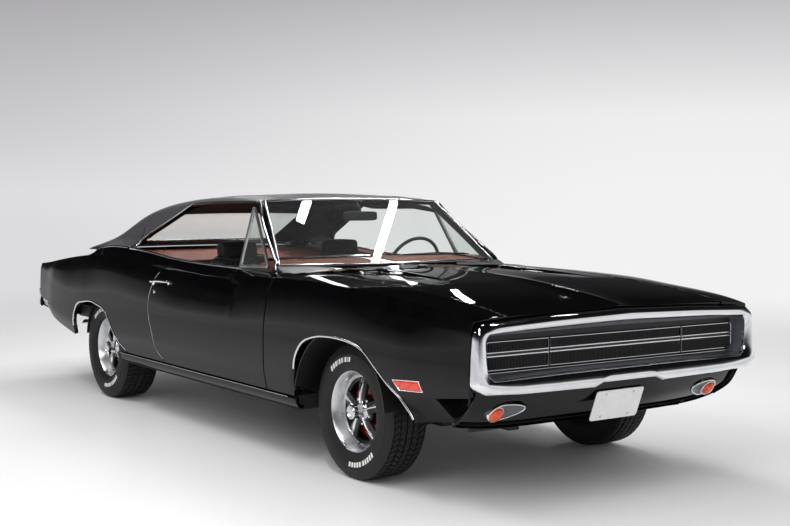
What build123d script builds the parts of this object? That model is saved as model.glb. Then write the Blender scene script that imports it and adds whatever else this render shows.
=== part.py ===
from build123d import *
import os
from math import cos, hypot, radians, sin

os.makedirs("parts", exist_ok=True)

# Two-door hardtop coupe. Millimetres; +X forward, +Y to the driver's (left) side, +Z up.
# The origin is on the ground below the middle of the overall length and width.

# Overall size
wheelbase = 2972.0
front_overhang = 1004.0
rear_overhang = 1307.0
body_width = 1948.0
roof_top = 1383.0
front_track = 1516.0
rear_track = 1504.0
panel_gap = 6.0

length = front_overhang + wheelbase + rear_overhang
nose_x = length / 2
tail_x = -length / 2
front_axle = nose_x - front_overhang
rear_axle = tail_x + rear_overhang
half = body_width / 2

# Wheels and tyres
front_tyre_radius = 332.0
rear_tyre_radius = 338.0
front_tyre_width = 235.0
rear_tyre_width = 255.0
rim_radius = 208.0
rim_seat_radius = 190.0
rim_width = 190.0
rim_wall = 8.0
hub_radius = 38.0
hub_clearance = 0.5
spoke_count = 5
spoke_wide = 62.0
spoke_root_wide = 74.0

# Body side
skirt_z = 362.0
rocker_bottom = 290.0
rocker_height = skirt_z - panel_gap - rocker_bottom
fender_skin = 30.0
door_thickness = 184.0
sill_tuck = 174.0
quarter_wall = 120.0
trunk_wall = 90.0

# Doors
door_front = front_axle - 686.0
door_rear = rear_axle + 957.0
door_pin_behind = 8.0
door_pin_tuck = 18.0
door_pin_relief = 25.2
door_pin_radius = 4.0
door_hinge_heights = (560.0, 695.0)
hinge_bar = 6.0
hinge_boss = 6.0
hinge_slot = 11.0
hinge_pocket = 9.0
pin_clear = 0.4
door_step = 28.0
door_skin = 44.0
vent_rear = door_front - 561.0
vent_front = door_front - 257.0
vent_apex = door_front - 650.0
vent_top = 1296.0
vent_thick = 8.0

# Hood and deck
hood_half = 697.0
hood_rear = front_axle - 706.0
bumper_depth = 70.0
hood_front = nose_x - bumper_depth - panel_gap
lid_skin = 36.0
lid_pin_in = 8.0
lid_pin_radius = 4.0
hood_pin_z = 958.0
hood_pin_half = 600.0
hood_rear_gap = 9.0
deck_half = 640.0
deck_front_gap = 14.0
deck_pin_half = 300.0
deck_rear = tail_x + 118.0

# Cabin
firewall_x = front_axle - 742.0
firewall_plate = 22.0
cowl_under = 60.0
cowl_lip_z = 925.0
cowl_clear = 10.0
cowl_half = half - door_thickness - cowl_clear
belt_z = 985.0
belt_half = 775.0
tumblehome = 0.41
windshield_foot = front_axle - 886.0
header_x = front_axle - 1292.0
header_z = 1345.0
backlight_top = rear_axle + 184.0
backlight_top_z = 1232.0
backlight_foot = rear_axle - 276.0
backlight_foot_z = 1006.0
deck_front = backlight_foot - deck_front_gap
deck_pin_z = 984.0
shelf_z = 925.0
shelf_lip_clear = 6.3
roof_skin = 30.0
pillar_thick = 55.0
glass_thick = 6.0
glass_gap = 0.4
windshield_low = belt_z + 26.0
windshield_high = header_z - 34.0
rear_glass_x = rear_axle + 330.0
rear_glass_low = backlight_foot_z + 30.0
rear_glass_high = backlight_top_z + 50.0
rear_glass_shrink = 20.0

# Floor
pan_top = 290.0
pan_thick = 26.0
tunnel_half = 150.0
tunnel_top = 420.0
floor_half = half - door_thickness
kick_x = rear_axle + 500.0
rear_floor_z = 530.0
trunk_floor_half = 585.0

# Frame and drive train
rail_out = 440.0
rail_in = 380.0
rail_low = 300.0
rail_high = 395.0
apron_thick = 12.0
apron_top = 842.0
rear_rail_out = 585.0
rear_rail_in = 530.0
tie_down_radius = 11.0
plate_hole_radius = 3.6
plate_hole_half = 89.0
plate_hole_z = 700.0

# Grille and lamps
grille_tuck = 549.0
grille_half = half - grille_tuck
grille_wall_tuck = 138.0
grille_wall_thick = 32.0
headlamp_pin = (nose_x - 190.0, 692.0)
headlamp_pin_radius = 6.0
headlamp_door_tuck = 176.0
headlamp_door_out = half - headlamp_door_tuck
lamp_tucks = (444.0, 274.0)
lamp_offsets = (half - lamp_tucks[0], half - lamp_tucks[1])
lamp_radius = 70.0
plate_lean = 20.0

# Steering
kingpin_half = 690.0
steer_arm_back = 150.0
steer_arm_out = 650.0
steer_arm_in = 590.0
steer_link_half = 611.0
steer_arm_z = 258.0
steer_arm_thick = 16.0

# Body-side stations, rear to front. Columns: x, then pairs of height and tuck in from
# the widest width for the lower edge, the widest line, the shoulder and the crease.
side_rows = [
    (tail_x + 112, 590, 100, 700, 84, 800, 90, 848, 99),
    (tail_x + 290, 540, 74, 680, 60, 800, 72, 863, 96),
    (rear_axle - 810, 470, 50, 660, 30, 830, 52, 891, 96),
    (rear_axle - 430, 400, 36, 640, 8, 855, 44, 933, 94),
    (rear_axle - 162, 362, 30, 640, 0, 868, 36, 952, 90),
    (rear_axle + 222, 362, 28, 640, 0, 872, 30, 960, 72),
    (rear_axle + 781, 362, 28, 640, 0, 850, 30, 933, 64),
    (rear_axle + 1320, 362, 28, 640, 0, 826, 36, 902, 70),
    (front_axle - 1170, 362, 28, 640, 0, 826, 36, 900, 70),
    (front_axle - 780, 362, 28, 640, 0, 860, 34, 940, 66),
    (front_axle - 413, 362, 28, 640, 0, 866, 32, 948, 64),
    (front_axle + 43, 362, 28, 640, 0, 860, 30, 940, 64),
    (front_axle + 442, 420, 32, 640, 14, 840, 40, 909, 69),
    (front_axle + 726, 505, 59, 640, 44, 815, 60, 884, 81),
    (nose_x - bumper_depth, 542, 80, 640, 74, 792, 80, 849, 92),
]

# Hood stations. Columns: x, height on the centre line, height along the side gap.
hood_rows = [
    (hood_rear, 985, 968),
    (front_axle - 230, 978, 962),
    (front_axle + 170, 965, 950),
    (front_axle + 480, 940, 926),
    (front_axle + 770, 905, 894),
    (hood_front, 878, 868),
]

# Deck lid stations. Columns: x, height on the centre line, height along the side gap.
deck_rows = [
    (deck_rear, 872, 856),
    (tail_x + 300, 905, 888),
    (rear_axle - 650, 962, 948),
    (deck_front, 996, 991),
]

# Window sill and upper edge of the quarter. Columns: x, height, tuck of the inner edge.
sill_rows = [
    (tail_x + 112, 856, half - deck_half - panel_gap),
    (tail_x + 300, 888, half - deck_half - panel_gap),
    (rear_axle - 650, 948, half - deck_half - panel_gap),
    (deck_front - 10, belt_z, half - deck_half - panel_gap),
    (rear_axle + 120, belt_z, half - 690),
    (rear_axle + 171, belt_z, sill_tuck),
    (rear_axle + 694, 972, sill_tuck),
    (front_axle - 1216, 963, sill_tuck),
    (door_front, 965, sill_tuck),
]


def lerp_row(rows, x):
    """Row of a station table at x, every column drawn straight between stations."""
    for a, b in zip(rows, rows[1:]):
        if min(a[0], b[0]) <= x <= max(a[0], b[0]):
            t = (x - a[0]) / (b[0] - a[0])
            return [p + (q - p) * t for p, q in zip(a, b)]
    nearest = min(rows, key=lambda row: abs(row[0] - x))
    return list(nearest)


def stations(x0, x1, *tables):
    """Every station of the tables between x0 and x1, with both ends."""
    found = {x0, x1}
    for rows in tables:
        found |= {row[0] for row in rows if x0 + 15 < row[0] < x1 - 15}
    return sorted(found)


def side_points(x):
    """Outer skin from the lower edge up to the crease as (|y|, z)."""
    row = lerp_row(side_rows, x)
    return [(half - row[k + 1], row[k]) for k in (1, 3, 5, 7)]


def ruled(sections):
    """Solid through sections given as (x, [(y, z), ...])."""
    wires = [Wire.make_polygon([Vector(x, y, z) for y, z in pts], close=True) for x, pts in sections]
    return Solid.make_loft(wires, True)


def box(x0, x1, y0, y1, z0, z1):
    centre = ((x0 + x1) / 2, (y0 + y1) / 2, (z0 + z1) / 2)
    return Pos(*centre) * Box(abs(x1 - x0), abs(y1 - y0), abs(z1 - z0))


def rod(a, b, radius):
    """Round bar from point a to point b."""
    a = Vector(*a)
    b = Vector(*b)
    return Solid.make_cylinder(radius, (b - a).length, Plane(origin=a, z_dir=b - a))


def side_plate(points, y0, y1):
    """Outline in (x, z) made into a plate between y0 and y1."""
    face = Face(Wire.make_polygon([Vector(x, y0, z) for x, z in points], close=True))
    return extrude(face, amount=abs(y1 - y0), dir=(0, 1 if y1 > y0 else -1, 0))


def front_plate(points, x0, x1):
    """Outline in (y, z) made into a plate between x0 and x1."""
    face = Face(Wire.make_polygon([Vector(x0, y, z) for y, z in points], close=True))
    return extrude(face, amount=abs(x1 - x0), dir=(1 if x1 > x0 else -1, 0, 0))


def mirrored(shape):
    return mirror(shape, about=Plane.XZ)


def solids_of(shape):
    return list(shape.solids())


def save(name, *shapes):
    solids = [s for shape in shapes for s in solids_of(shape)]
    whole = solids[0] if len(solids) == 1 else Compound(children=solids)
    export_step(whole, "parts/" + name + ".step")


def save_pair(name, shape):
    """The shape is built on the right (-Y) side; its mirror image is the left one."""
    save(name + "_right", shape)
    save(name + "_left", mirrored(shape))


def arch(axle_x, rows, y0, y1):
    """Wheel opening: rows hold (dx from the axle, z) with arcs through the middle of each three."""
    p = [Vector(axle_x + dx, y0, z) for dx, z in rows]
    edges = [Line(p[0], p[1]), ThreePointArc(p[1], p[2], p[3]), ThreePointArc(p[3], p[4], p[5])]
    edges += [Line(p[5], p[6]), Line(p[6], p[7]), Line(p[7], p[0])]
    face = Face(Wire(edges))
    return extrude(face, amount=abs(y1 - y0), dir=(0, 1 if y1 > y0 else -1, 0))


front_arch_rows = [
    (-392, 230), (-380, 560), (-302, 655), (-25, 699), (230, 668), (432, 520), (600, 380), (600, 230),
]
rear_arch_rows = [
    (-372, 230), (-366, 520), (-280, 626), (-40, 656), (200, 618), (392, 424), (520, 370), (520, 230),
]


# Body side panels ---------------------------------------------------------------

def door_edge(x, inset):
    """Rear edge of the door in side view, bowed at the shoulder and swept in at the foot."""
    # Columns: height, and how far forward of the door's rear line the edge runs.
    rows = [
        (1030, 4), (935, 0), (849, -58), (723, -95), (662, -90), (543, -47), (427, 16), (379, 78), (300, 150),
    ]
    return [(x + dx + inset, z) for z, dx in rows]


def door_outline(inset, low):
    """Side view of the door: straight front edge, curved rear edge."""
    rear = [p for p in door_edge(door_rear, inset) if p[1] > low + 5]
    foot_x = door_rear + 98 + inset
    return [(door_front - inset, 1030), *rear, (foot_x, low), (door_front - inset, low)]


def door_section(x):
    pts = side_points(x)
    sill = lerp_row(sill_rows, x)
    inner = half - door_thickness
    return [*[(-y, z) for y, z in pts], (-(half - sill[2]), sill[1]), (-inner, sill[1]), (-inner, skirt_z)]


def door_pin(z0, z1, radius):
    """Upright bar on the right door's hinge line."""
    x = door_front - door_pin_behind
    y = -(half - door_pin_tuck)
    return rod((x, y, z0), (x, y, z1), radius)


def door_right():
    xs = stations(door_rear - 100, door_front, side_rows, sill_rows)
    body = ruled([(x, door_section(x)) for x in xs])
    skin = side_plate(door_outline(0, skirt_z), -half - 5, -(half - door_skin - 6))
    core = side_plate(door_outline(door_step, skirt_z + 8), -(half - door_skin), -(half - door_thickness - 5))
    shell = body & (skin + core)
    pin_x = door_front - door_pin_behind
    pin_y = -(half - door_pin_tuck)
    inside_y = -(half - door_thickness - 5)
    for z in door_hinge_heights:
        z0 = z - hinge_slot
        z1 = z + hinge_slot
        slot = box(pin_x - hinge_slot, door_front + 5, pin_y, inside_y, z0, z1)
        pocket = door_pin(z0, z1, hinge_pocket)
        bore = door_pin(z - 22, z + 22, door_pin_radius + pin_clear)
        shell = shell - slot - pocket - bore
    inner_y = -(half - door_thickness)
    pull = box(door_front - 760, door_front - 420, inner_y, inner_y + 60, 640, 700)
    return shell + pull


def door_hinges_right():
    """Fixed half of each right door hinge: pin, boss and the bar to the firewall's side."""
    pin_x = door_front - door_pin_behind
    pin_y = -(half - door_pin_tuck)
    foot_y = -(cowl_half + 0.3)
    found = []
    for z in door_hinge_heights:
        z0 = z - hinge_bar
        z1 = z + hinge_bar
        pin = door_pin(z - 20, z + 20, door_pin_radius)
        boss = door_pin(z0, z1, hinge_boss)
        bar = box(pin_x - hinge_bar, pin_x + hinge_bar, pin_y, foot_y, z0, z1)
        foot = box(firewall_x + 2, pin_x, foot_y - 5, foot_y, z0, z1)
        found.append(pin + boss + bar + foot)
    return found


def vent_window_right():
    """Swivelling quarter glass at the front of the door, standing on its sill."""
    foot_y = -(half - sill_tuck - 4)
    corners = [
        Vector(vent_rear, foot_y, lerp_row(sill_rows, vent_rear)[1] + 0.3),
        Vector(vent_front, foot_y, lerp_row(sill_rows, vent_front)[1] + 0.3),
        Vector(vent_apex, -(half - 328), vent_top - 6),
        Vector(vent_apex - 22, -(half - 330), vent_top),
    ]
    along = corners[1] - corners[0]
    pane = Plane(origin=corners[0], x_dir=along, z_dir=along.cross(corners[3] - corners[0]))
    local = [pane.to_local_coords(q) for q in corners]
    outline = Wire.make_polygon([Vector(q.X, q.Y, 0) for q in local], close=True)
    return extrude(pane * Face(outline), amount=vent_thick)


def quarter_section(x):
    pts = side_points(x)
    sill = lerp_row(sill_rows, x)
    edge = half - sill[2]
    cabin = x > rear_axle + 400
    wall = half - (door_thickness if cabin else quarter_wall)
    low = pts[0][1]
    flange = sill[1] - lid_skin
    top = [(-edge, sill[1]), (-edge, flange), (-min(wall, edge) if cabin else -wall, flange - 2)]
    return [*[(-y, z) for y, z in pts], *top, (-wall, low)]


def quarter_right():
    front = door_rear + 160
    joint = rear_axle + 401
    back = ruled([(x, quarter_section(x)) for x in stations(tail_x + 112.3, joint - 2, side_rows, sill_rows)])
    fore = ruled([(x, quarter_section(x)) for x in stations(joint, front, side_rows, sill_rows)])
    cut = side_plate(door_outline(-panel_gap, skirt_z - panel_gap), -half - 5, -(half - door_thickness - 80))
    opening = arch(rear_axle, rear_arch_rows, -half - 5, -500)
    axle = (rear_axle, -(half - 46), rear_tyre_radius)
    cavity = rod(axle, (rear_axle, -500, rear_tyre_radius), rear_tyre_radius + 40)
    bridge = box(joint - 3, joint + 1, -(half - 40), -(half - quarter_wall + 10), skirt_z + 30, 900)
    return (back + bridge + fore) - cut - opening - cavity


def fender_section(x):
    pts = side_points(x)
    t = fender_skin
    hood = lerp_row(hood_rows, x)
    edge = hood_half + panel_gap
    outer = [(-y, z) for y, z in pts] + [(-edge, hood[2])]
    low, widest, shoulder, crease = pts
    inner = [(-edge, hood[2] - t), (-(crease[0] - t), crease[1] - t)]
    inner += [(-(y - t), z) for y, z in (shoulder, widest, low)]
    return outer + inner


def fender_right():
    xs = stations(door_front + panel_gap, nose_x - bumper_depth - 0.3, side_rows, hood_rows)
    body = ruled([(x, fender_section(x)) for x in xs])
    opening = arch(front_axle, front_arch_rows, -half - 5, -500)
    return body - opening - door_pin(200, 1100, door_pin_relief)


def lid(rows, x0, x1, width):
    """Crowned panel through its stations."""
    sections = []
    for x in stations(x0, x1, rows):
        row = lerp_row(rows, x)
        mid = row[2] + (row[1] - row[2]) * 0.75
        top = [(-width, row[2]), (-width / 2, mid), (0, row[1]), (width / 2, mid), (width, row[2])]
        sections.append((x, top + [(y, z - lid_skin) for y, z in reversed(top)]))
    return ruled(sections)


def lid_hinge_cut(pin_x, pin_z, y, edge_x):
    """Slot and bore in a lid for one fixed hinge leaf."""
    side = 1 if edge_x > pin_x else -1
    slot = box(pin_x - side * 12, edge_x + side * 2, y - 10, y + 10, pin_z - 60, pin_z + 8)
    bore = rod((pin_x, y - 22, pin_z), (pin_x, y + 22, pin_z), lid_pin_radius + pin_clear)
    return slot, bore


def lid_hinge(pin_x, pin_z, y, foot_x, foot_z):
    """Fixed hinge leaf: cross pin, and a flat bar down to its foot."""
    pin = rod((pin_x, y - 20, pin_z), (pin_x, y + 20, pin_z), lid_pin_radius)
    lean = Vector(foot_x - pin_x, 0, foot_z - pin_z).normalized()
    across = Vector(-lean.Z, 0, lean.X) * 5
    a = Vector(pin_x, 0, pin_z)
    b = Vector(foot_x, 0, foot_z)
    leaf = side_plate([(q.X, q.Z) for q in (a + across, a - across, b - across, b + across)], y - 4, y + 4)
    return pin + leaf


def hood():
    body = lid(hood_rows, hood_rear, hood_front, hood_half)
    for y in (-hood_pin_half, hood_pin_half):
        for cut in lid_hinge_cut(hood_rear + lid_pin_in, hood_pin_z, y, hood_rear):
            body = body - cut
    return body


def deck_lid():
    body = lid(deck_rows, deck_rear, deck_front, deck_half)
    for y in (-deck_pin_half, deck_pin_half):
        for cut in lid_hinge_cut(deck_front - lid_pin_in, deck_pin_z, y, deck_front):
            body = body - cut
    return body


def lid_hinges():
    """Fixed leaves of the hood hinges on the cowl and of the deck hinges on the roof's foot."""
    found = []
    hood_pin_x = hood_rear + lid_pin_in
    hood_foot_x = hood_rear - hood_rear_gap - 12
    for y in (-hood_pin_half, hood_pin_half):
        found.append(lid_hinge(hood_pin_x, hood_pin_z, y, hood_foot_x, cowl_lip_z + 13.8))
    for y in (-deck_pin_half, deck_pin_half):
        found.append(lid_hinge(deck_front - lid_pin_in, deck_pin_z, y, backlight_foot + 2, shelf_z + 2.5))
    return found


# Greenhouse ---------------------------------------------------------------------

def cabin_side(inset):
    """Side view of the greenhouse, brought in by inset."""
    rise = header_z - belt_z
    run = windshield_foot - header_x
    lean = inset * hypot(rise, run) / rise
    rear_rise = backlight_top_z - backlight_foot_z
    rear_run = backlight_top - backlight_foot
    rear_lean = inset * hypot(rear_rise, rear_run) / rear_rise
    low = belt_z - (0 if inset == 0 else 40)
    p = [
        (windshield_foot - lean, low),
        (header_x - lean * 0.7, header_z - inset),
        (header_x - 395, roof_top - inset),
        (rear_axle + 584, roof_top - 33 - inset),
        (backlight_top + rear_lean * 0.5, backlight_top_z - inset * 0.9),
        (backlight_foot + rear_lean, low),
    ]
    v = [Vector(x, -half, z) for x, z in p]
    mid_roof = Vector((header_x - 395 + rear_axle + 584) / 2, -half, roof_top - 8 - inset)
    mid_rear = Vector(rear_axle + 400, -half, roof_top - 82 - inset)
    front_mid = Vector(header_x - 190, -half, roof_top - 12 - inset)
    edges = [
        Line(v[0], v[1]), ThreePointArc(v[1], front_mid, v[2]), ThreePointArc(v[2], mid_roof, v[3]),
        ThreePointArc(v[3], mid_rear, v[4]), Line(v[4], v[5]), Line(v[5], v[0]),
    ]
    return extrude(Face(Wire(edges)), amount=body_width, dir=(0, 1, 0))


def cabin_front(inset):
    """Front view of the greenhouse, brought in by inset, run the length of the car."""
    low = belt_z - 60
    edge_z = roof_top - 62
    y_low = belt_half + tumblehome * (belt_z - low) - inset
    y_high = belt_half - tumblehome * (edge_z - belt_z) - inset
    shoulder_y = y_high - 60
    shoulder_z = roof_top - 24 - min(inset, roof_skin)
    crown_z = roof_top + 6 - min(inset, roof_skin)
    x = tail_x
    right = [Vector(x, -y_low, low), Vector(x, -y_high, edge_z), Vector(x, -shoulder_y, shoulder_z)]
    left = [Vector(x, shoulder_y, shoulder_z), Vector(x, y_high, edge_z), Vector(x, y_low, low)]
    crown = ThreePointArc(right[2], Vector(x, 0, crown_z), left[0])
    edges = [Line(right[0], right[1]), Line(right[1], right[2]), crown]
    edges += [Line(left[0], left[1]), Line(left[1], left[2]), Line(left[2], right[0])]
    return extrude(Face(Wire(edges)), amount=length, dir=(1, 0, 0))


def side_opening():
    """Side window opening, from the windshield post back to the roof quarter."""
    points = [
        (windshield_foot - 20, belt_z - 60), (windshield_foot - 60, belt_z + 14),
        (header_x - 24, header_z - 34), (header_x - 90, header_z - 14),
        (rear_axle + 1060, header_z - 24), (rear_axle + 880, header_z - 34),
        (rear_axle + 813, header_z - 53), (rear_axle + 710, header_z - 99),
        (rear_axle + 605, header_z - 145), (rear_axle + 496, header_z - 190),
        (rear_axle + 384, header_z - 235), (rear_axle + 297, header_z - 277),
        (rear_axle + 286, belt_z - 60),
    ]
    return side_plate(points, -half, half)


def glass_band(x0, x1, foot_z, head_z, shrink):
    """Pane opening seen from the front, run between x0 and x1."""
    y0 = belt_half - tumblehome * (foot_z - belt_z) - pillar_thick - shrink
    y1 = belt_half - tumblehome * (head_z - belt_z) - pillar_thick - shrink
    return front_plate([(-y0, foot_z), (y0, foot_z), (y1, head_z), (-y1, head_z)], x0, x1)


def greenhouse():
    outer = cabin_side(0) & cabin_front(0)
    inner = cabin_side(roof_skin) & cabin_front(pillar_thick)
    shell = outer - inner - side_opening()
    front_glass = glass_band(header_x - 150, nose_x, windshield_low, windshield_high, 0)
    rear_glass = glass_band(tail_x, rear_glass_x, rear_glass_low, rear_glass_high, rear_glass_shrink)
    shell = shell - front_glass - rear_glass
    joint = header_x - 12
    return shell, joint


def windshield():
    band = cabin_side(8) & cabin_front(pillar_thick + glass_gap)
    hollow = cabin_side(8 + glass_thick)
    low = windshield_low + glass_gap
    high = windshield_high - glass_gap
    return (band - hollow) & glass_band(header_x - 60, nose_x, low, high, glass_gap)


def rear_window():
    band = cabin_side(12) & cabin_front(pillar_thick + glass_gap)
    hollow = cabin_side(12 + glass_thick)
    low = rear_glass_low + glass_gap
    high = rear_glass_high - glass_gap
    return (band - hollow) & glass_band(tail_x, rear_glass_x, low, high, rear_glass_shrink + glass_gap)


# Wheels -------------------------------------------------------------------------

def tyre(radius, width):
    """Tyre about the Y axis, centred on its own middle, its beads on the rim's seats."""
    w = width / 2
    seat = rim_width / 2
    bead = rim_radius + pin_clear
    rows = [
        (rim_seat_radius + pin_clear, seat - 14.6), (bead, seat - 8.6), (bead, seat + 1),
        (rim_radius + 20, w - 9), (radius - 62, w), (radius - 12, w - 14), (radius, w - 34),
    ]
    right = [Vector(r, y) for r, y in rows]
    left = [Vector(r, -y) for r, y in reversed(rows)]
    return revolve(Face(Wire.make_polygon(right + left, close=True)), axis=Axis.Y)


def rim():
    """Five-spoke steel wheel about the Y axis; the face points to -Y."""
    w = rim_width / 2
    well = rim_seat_radius
    barrel = [
        (rim_radius, -w), (rim_radius, -w + 8), (well, -w + 14), (well, w - 14), (rim_radius, w - 8),
        (rim_radius, w), (well - rim_wall, w), (well - rim_wall, -w),
    ]
    ring = revolve(Face(Wire.make_polygon([Vector(r, y) for r, y in barrel], close=True)), axis=Axis.Y)
    hub = rod((0, -w + 14, 0), (0, -w + 70, 0), 66)
    spokes = []
    for k in range(spoke_count):
        angle = 90 + 360 / spoke_count * k
        bar = box(30, well - rim_wall + 2, -w + 24, -w + 50, -spoke_wide / 2, spoke_wide / 2)
        spokes.append(Rot(0, angle, 0) * bar)
    body = ring + hub
    for bar in spokes:
        body = body + bar
    return body - rod((0, -w + 30, 0), (0, w, 0), hub_radius + hub_clearance)


def knuckle_right():
    """Upright, spindle, brake disc and steering arm of the right front wheel."""
    y = -kingpin_half
    z = front_tyre_radius
    post = box(front_axle - 30, front_axle + 30, y - 22, y + 50, steer_arm_z, z + 150)
    spindle = rod((front_axle, y, z), (front_axle, -front_track / 2 - rim_width / 2 + 32, z), hub_radius)
    disc = rod((front_axle, y - 24, z), (front_axle, y - 58, z), 140)
    arm_top = steer_arm_z + steer_arm_thick
    arm_x = front_axle - steer_arm_back - 22
    arm = box(arm_x, front_axle + 30, -steer_arm_out, -steer_arm_in, steer_arm_z, arm_top)
    return post + spindle + disc + arm


# Build --------------------------------------------------------------------------

def wheels():
    rows = [
        ("front_right", front_axle, -1, front_track / 2, front_tyre_radius, front_tyre_width),
        ("front_left", front_axle, 1, front_track / 2, front_tyre_radius, front_tyre_width),
        ("rear_right", rear_axle, -1, rear_track / 2, rear_tyre_radius, rear_tyre_width),
        ("rear_left", rear_axle, 1, rear_track / 2, rear_tyre_radius, rear_tyre_width),
    ]
    for name, x, side, y, radius, width in rows:
        turn = Rot(0, 0, 180) if side > 0 else Rot(0, 0, 0)
        at = Pos(x, side * y, radius)
        save("tyre_" + name, at * turn * tyre(radius, width))
        save("rim_" + name, at * turn * rim())


def floor():
    pan = box(kick_x, firewall_x, -floor_half, floor_half, pan_top - pan_thick, pan_top)
    hump = box(kick_x, firewall_x, -tunnel_half, tunnel_half, pan_top - 5, tunnel_top)
    bore = box(kick_x - 40, firewall_x + 5, -tunnel_half + 14, tunnel_half - 14, 200, tunnel_top - 14)
    w = trunk_floor_half
    kick = box(kick_x - 22, kick_x + 4, -w, w, pan_top - pan_thick, rear_floor_z)
    trunk = box(tail_x + 112, kick_x - 20, -w, w, rear_floor_z - 24, rear_floor_z)
    body = pan + hump + kick + trunk - bore
    out = -(half - 56)
    into = -(floor_half - 6)
    door_end = door_front + panel_gap
    rocker = box(rear_axle + 440, door_end, out, into, rocker_bottom, skirt_z - panel_gap)
    fore = box(door_end, front_axle - 400, out, into, rocker_bottom, skirt_z)
    aft = box(rear_axle + 400, door_rear - 160, out, into, rocker_bottom, skirt_z)
    rocker = rocker + fore + aft
    return body + rocker + mirrored(rocker)


def wheelhouse_right():
    z = rear_tyre_radius
    r = z + 42
    y0 = -(half - quarter_wall - 0.3)
    y1 = -592
    shell = rod((rear_axle, y0, z), (rear_axle, y1, z), r + 10)
    shell = shell - rod((rear_axle, y0 - 5, z), (rear_axle, y1 - 12, z), r)
    return shell - box(rear_axle - 600, rear_axle + 600, -1000, -500, -200, z + 60)


def cowl():
    """Cowl box below the windshield with the firewall hanging from it."""
    lip_x = hood_rear - hood_rear_gap
    top = [
        (lip_x, cowl_lip_z), (windshield_foot + 30, belt_z), (windshield_foot - 40, belt_z),
        (windshield_foot - 40, belt_z - cowl_under), (lip_x, cowl_lip_z - 24),
    ]
    box_top = side_plate(top, -cowl_half, cowl_half)
    engine_side = firewall_x + firewall_plate
    wall = box(firewall_x, engine_side, -cowl_half, cowl_half, pan_top - 20, belt_z - 50)
    hole = box(firewall_x - 5, firewall_x + 40, -tunnel_half + 14, tunnel_half - 14, 200, tunnel_top - 14)
    return box_top + wall - hole


def inner_fender_right():
    """Apron beside the engine and the arch over the tyre, fitted to the fender."""
    start = firewall_x + firewall_plate
    apron = box(start, nose_x - 341, -rail_out - apron_thick, -rail_out, rail_low + 10, apron_top)
    r = front_tyre_radius + 62
    y0 = -(half - 20)
    y1 = -rail_out - apron_thick + 1
    z = front_tyre_radius
    guard = rod((front_axle, y0, z), (front_axle, y1, z), r + 6)
    guard = guard - rod((front_axle, y0 - 5, z), (front_axle, y1 + 5, z), r)
    guard = guard - box(front_axle - 600, front_axle + 600, -1000, -200, -200, z + 60)
    guard = guard - fender_right()
    inside = max(guard.solids(), key=lambda q: q.volume)
    return apron + inside


def front_subframe():
    """Front rails, the crossmember between them and the lower suspension arms."""
    start = firewall_x + firewall_plate
    body = box(front_axle - 90, front_axle + 90, -rail_in - 5, rail_in + 5, 225, rail_low + 30)
    for s in (-1, 1):
        rail = box(start, nose_x - 340.3, s * rail_out, s * rail_in, rail_low, rail_high)
        arm = rod((front_axle, s * (rail_in - 20), 244), (front_axle, s * kingpin_half, 226), 18)
        pin_y = s * kingpin_half
        ball = rod((front_axle, pin_y, 220), (front_axle, pin_y, steer_arm_z - pin_clear), 14)
        hole_x = nose_x - 420
        hole_y = s * (rail_in + rail_out) / 2
        hole = rod((hole_x, hole_y, rail_low - 5), (hole_x, hole_y, rail_high + 5), tie_down_radius)
        body = body + rail + arm + ball - hole
    return body


def radiator_support():
    """Panel across the front of the rails with the radiator core behind it."""
    frame = box(nose_x - 340, nose_x - 322, -(hood_half - 12), hood_half - 12, rail_low + 20, 826)
    return frame + box(nose_x - 384, nose_x - 339, -330, 330, 420, 790)


def rear_frame():
    y = -(rear_rail_in + rear_rail_out) / 2
    rail = box(tail_x + 112, kick_x - 22, -rear_rail_out, -rear_rail_in, 440, rear_floor_z - 24)
    return rail - rod((tail_x + 200, y, 430), (tail_x + 200, y, rear_floor_z), tie_down_radius)


def leaf_spring_right():
    y = -(rear_rail_out + rear_rail_in) / 2
    z = rear_tyre_radius - 60
    points = [
        (rear_axle + 600, pan_top - pan_thick - 0.3), (rear_axle + 600, pan_top - pan_thick - 20),
        (rear_axle + 470, pan_top - pan_thick - 25), (rear_axle + 100, z - 18), (rear_axle - 100, z - 18),
        (rear_axle - 700, 420), (rear_axle - 700, 439.7), (rear_axle - 680, 439.7),
        (rear_axle - 100, z), (rear_axle + 100, z), (rear_axle + 470, pan_top - pan_thick - 7),
    ]
    return side_plate(points, y - 30, y + 30)


def rear_axle_beam():
    z = rear_tyre_radius
    at = rear_track / 2
    tube = rod((rear_axle, -(at - 60), z), (rear_axle, at - 60, z), 42)
    shaft = rod((rear_axle, -(at + 63), z), (rear_axle, at + 63, z), hub_radius)
    case = rod((rear_axle, -105, z), (rear_axle, 105, z), 118)
    nose = rod((rear_axle, 0, z), (rear_axle + 220, 0, z), 55)
    drums = [rod((rear_axle, s * (at - 84), z), (rear_axle, s * (at - 20), z), 140) for s in (-1, 1)]
    y = (rear_rail_in + rear_rail_out) / 2
    pads = [box(rear_axle - 60, rear_axle + 60, s * (y - 24), s * (y + 24), z - 60, z) for s in (-1, 1)]
    body = tube + shaft + case + nose
    for piece in drums + pads:
        body = body + piece
    return body


def engine():
    return box(front_axle - 480, front_axle + 190, -240, 240, 330, 840)


def transmission():
    bell = rod((front_axle - 480.3, 0, 370), (front_axle - 700, 0, 370), 128)
    return bell + rod((front_axle - 700, 0, 320), (front_axle - 1270, 0, 320), 72)


def driveshaft():
    return rod((front_axle - 1270.8, 0, 320), (rear_axle + 221, 0, rear_tyre_radius), 36)


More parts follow.
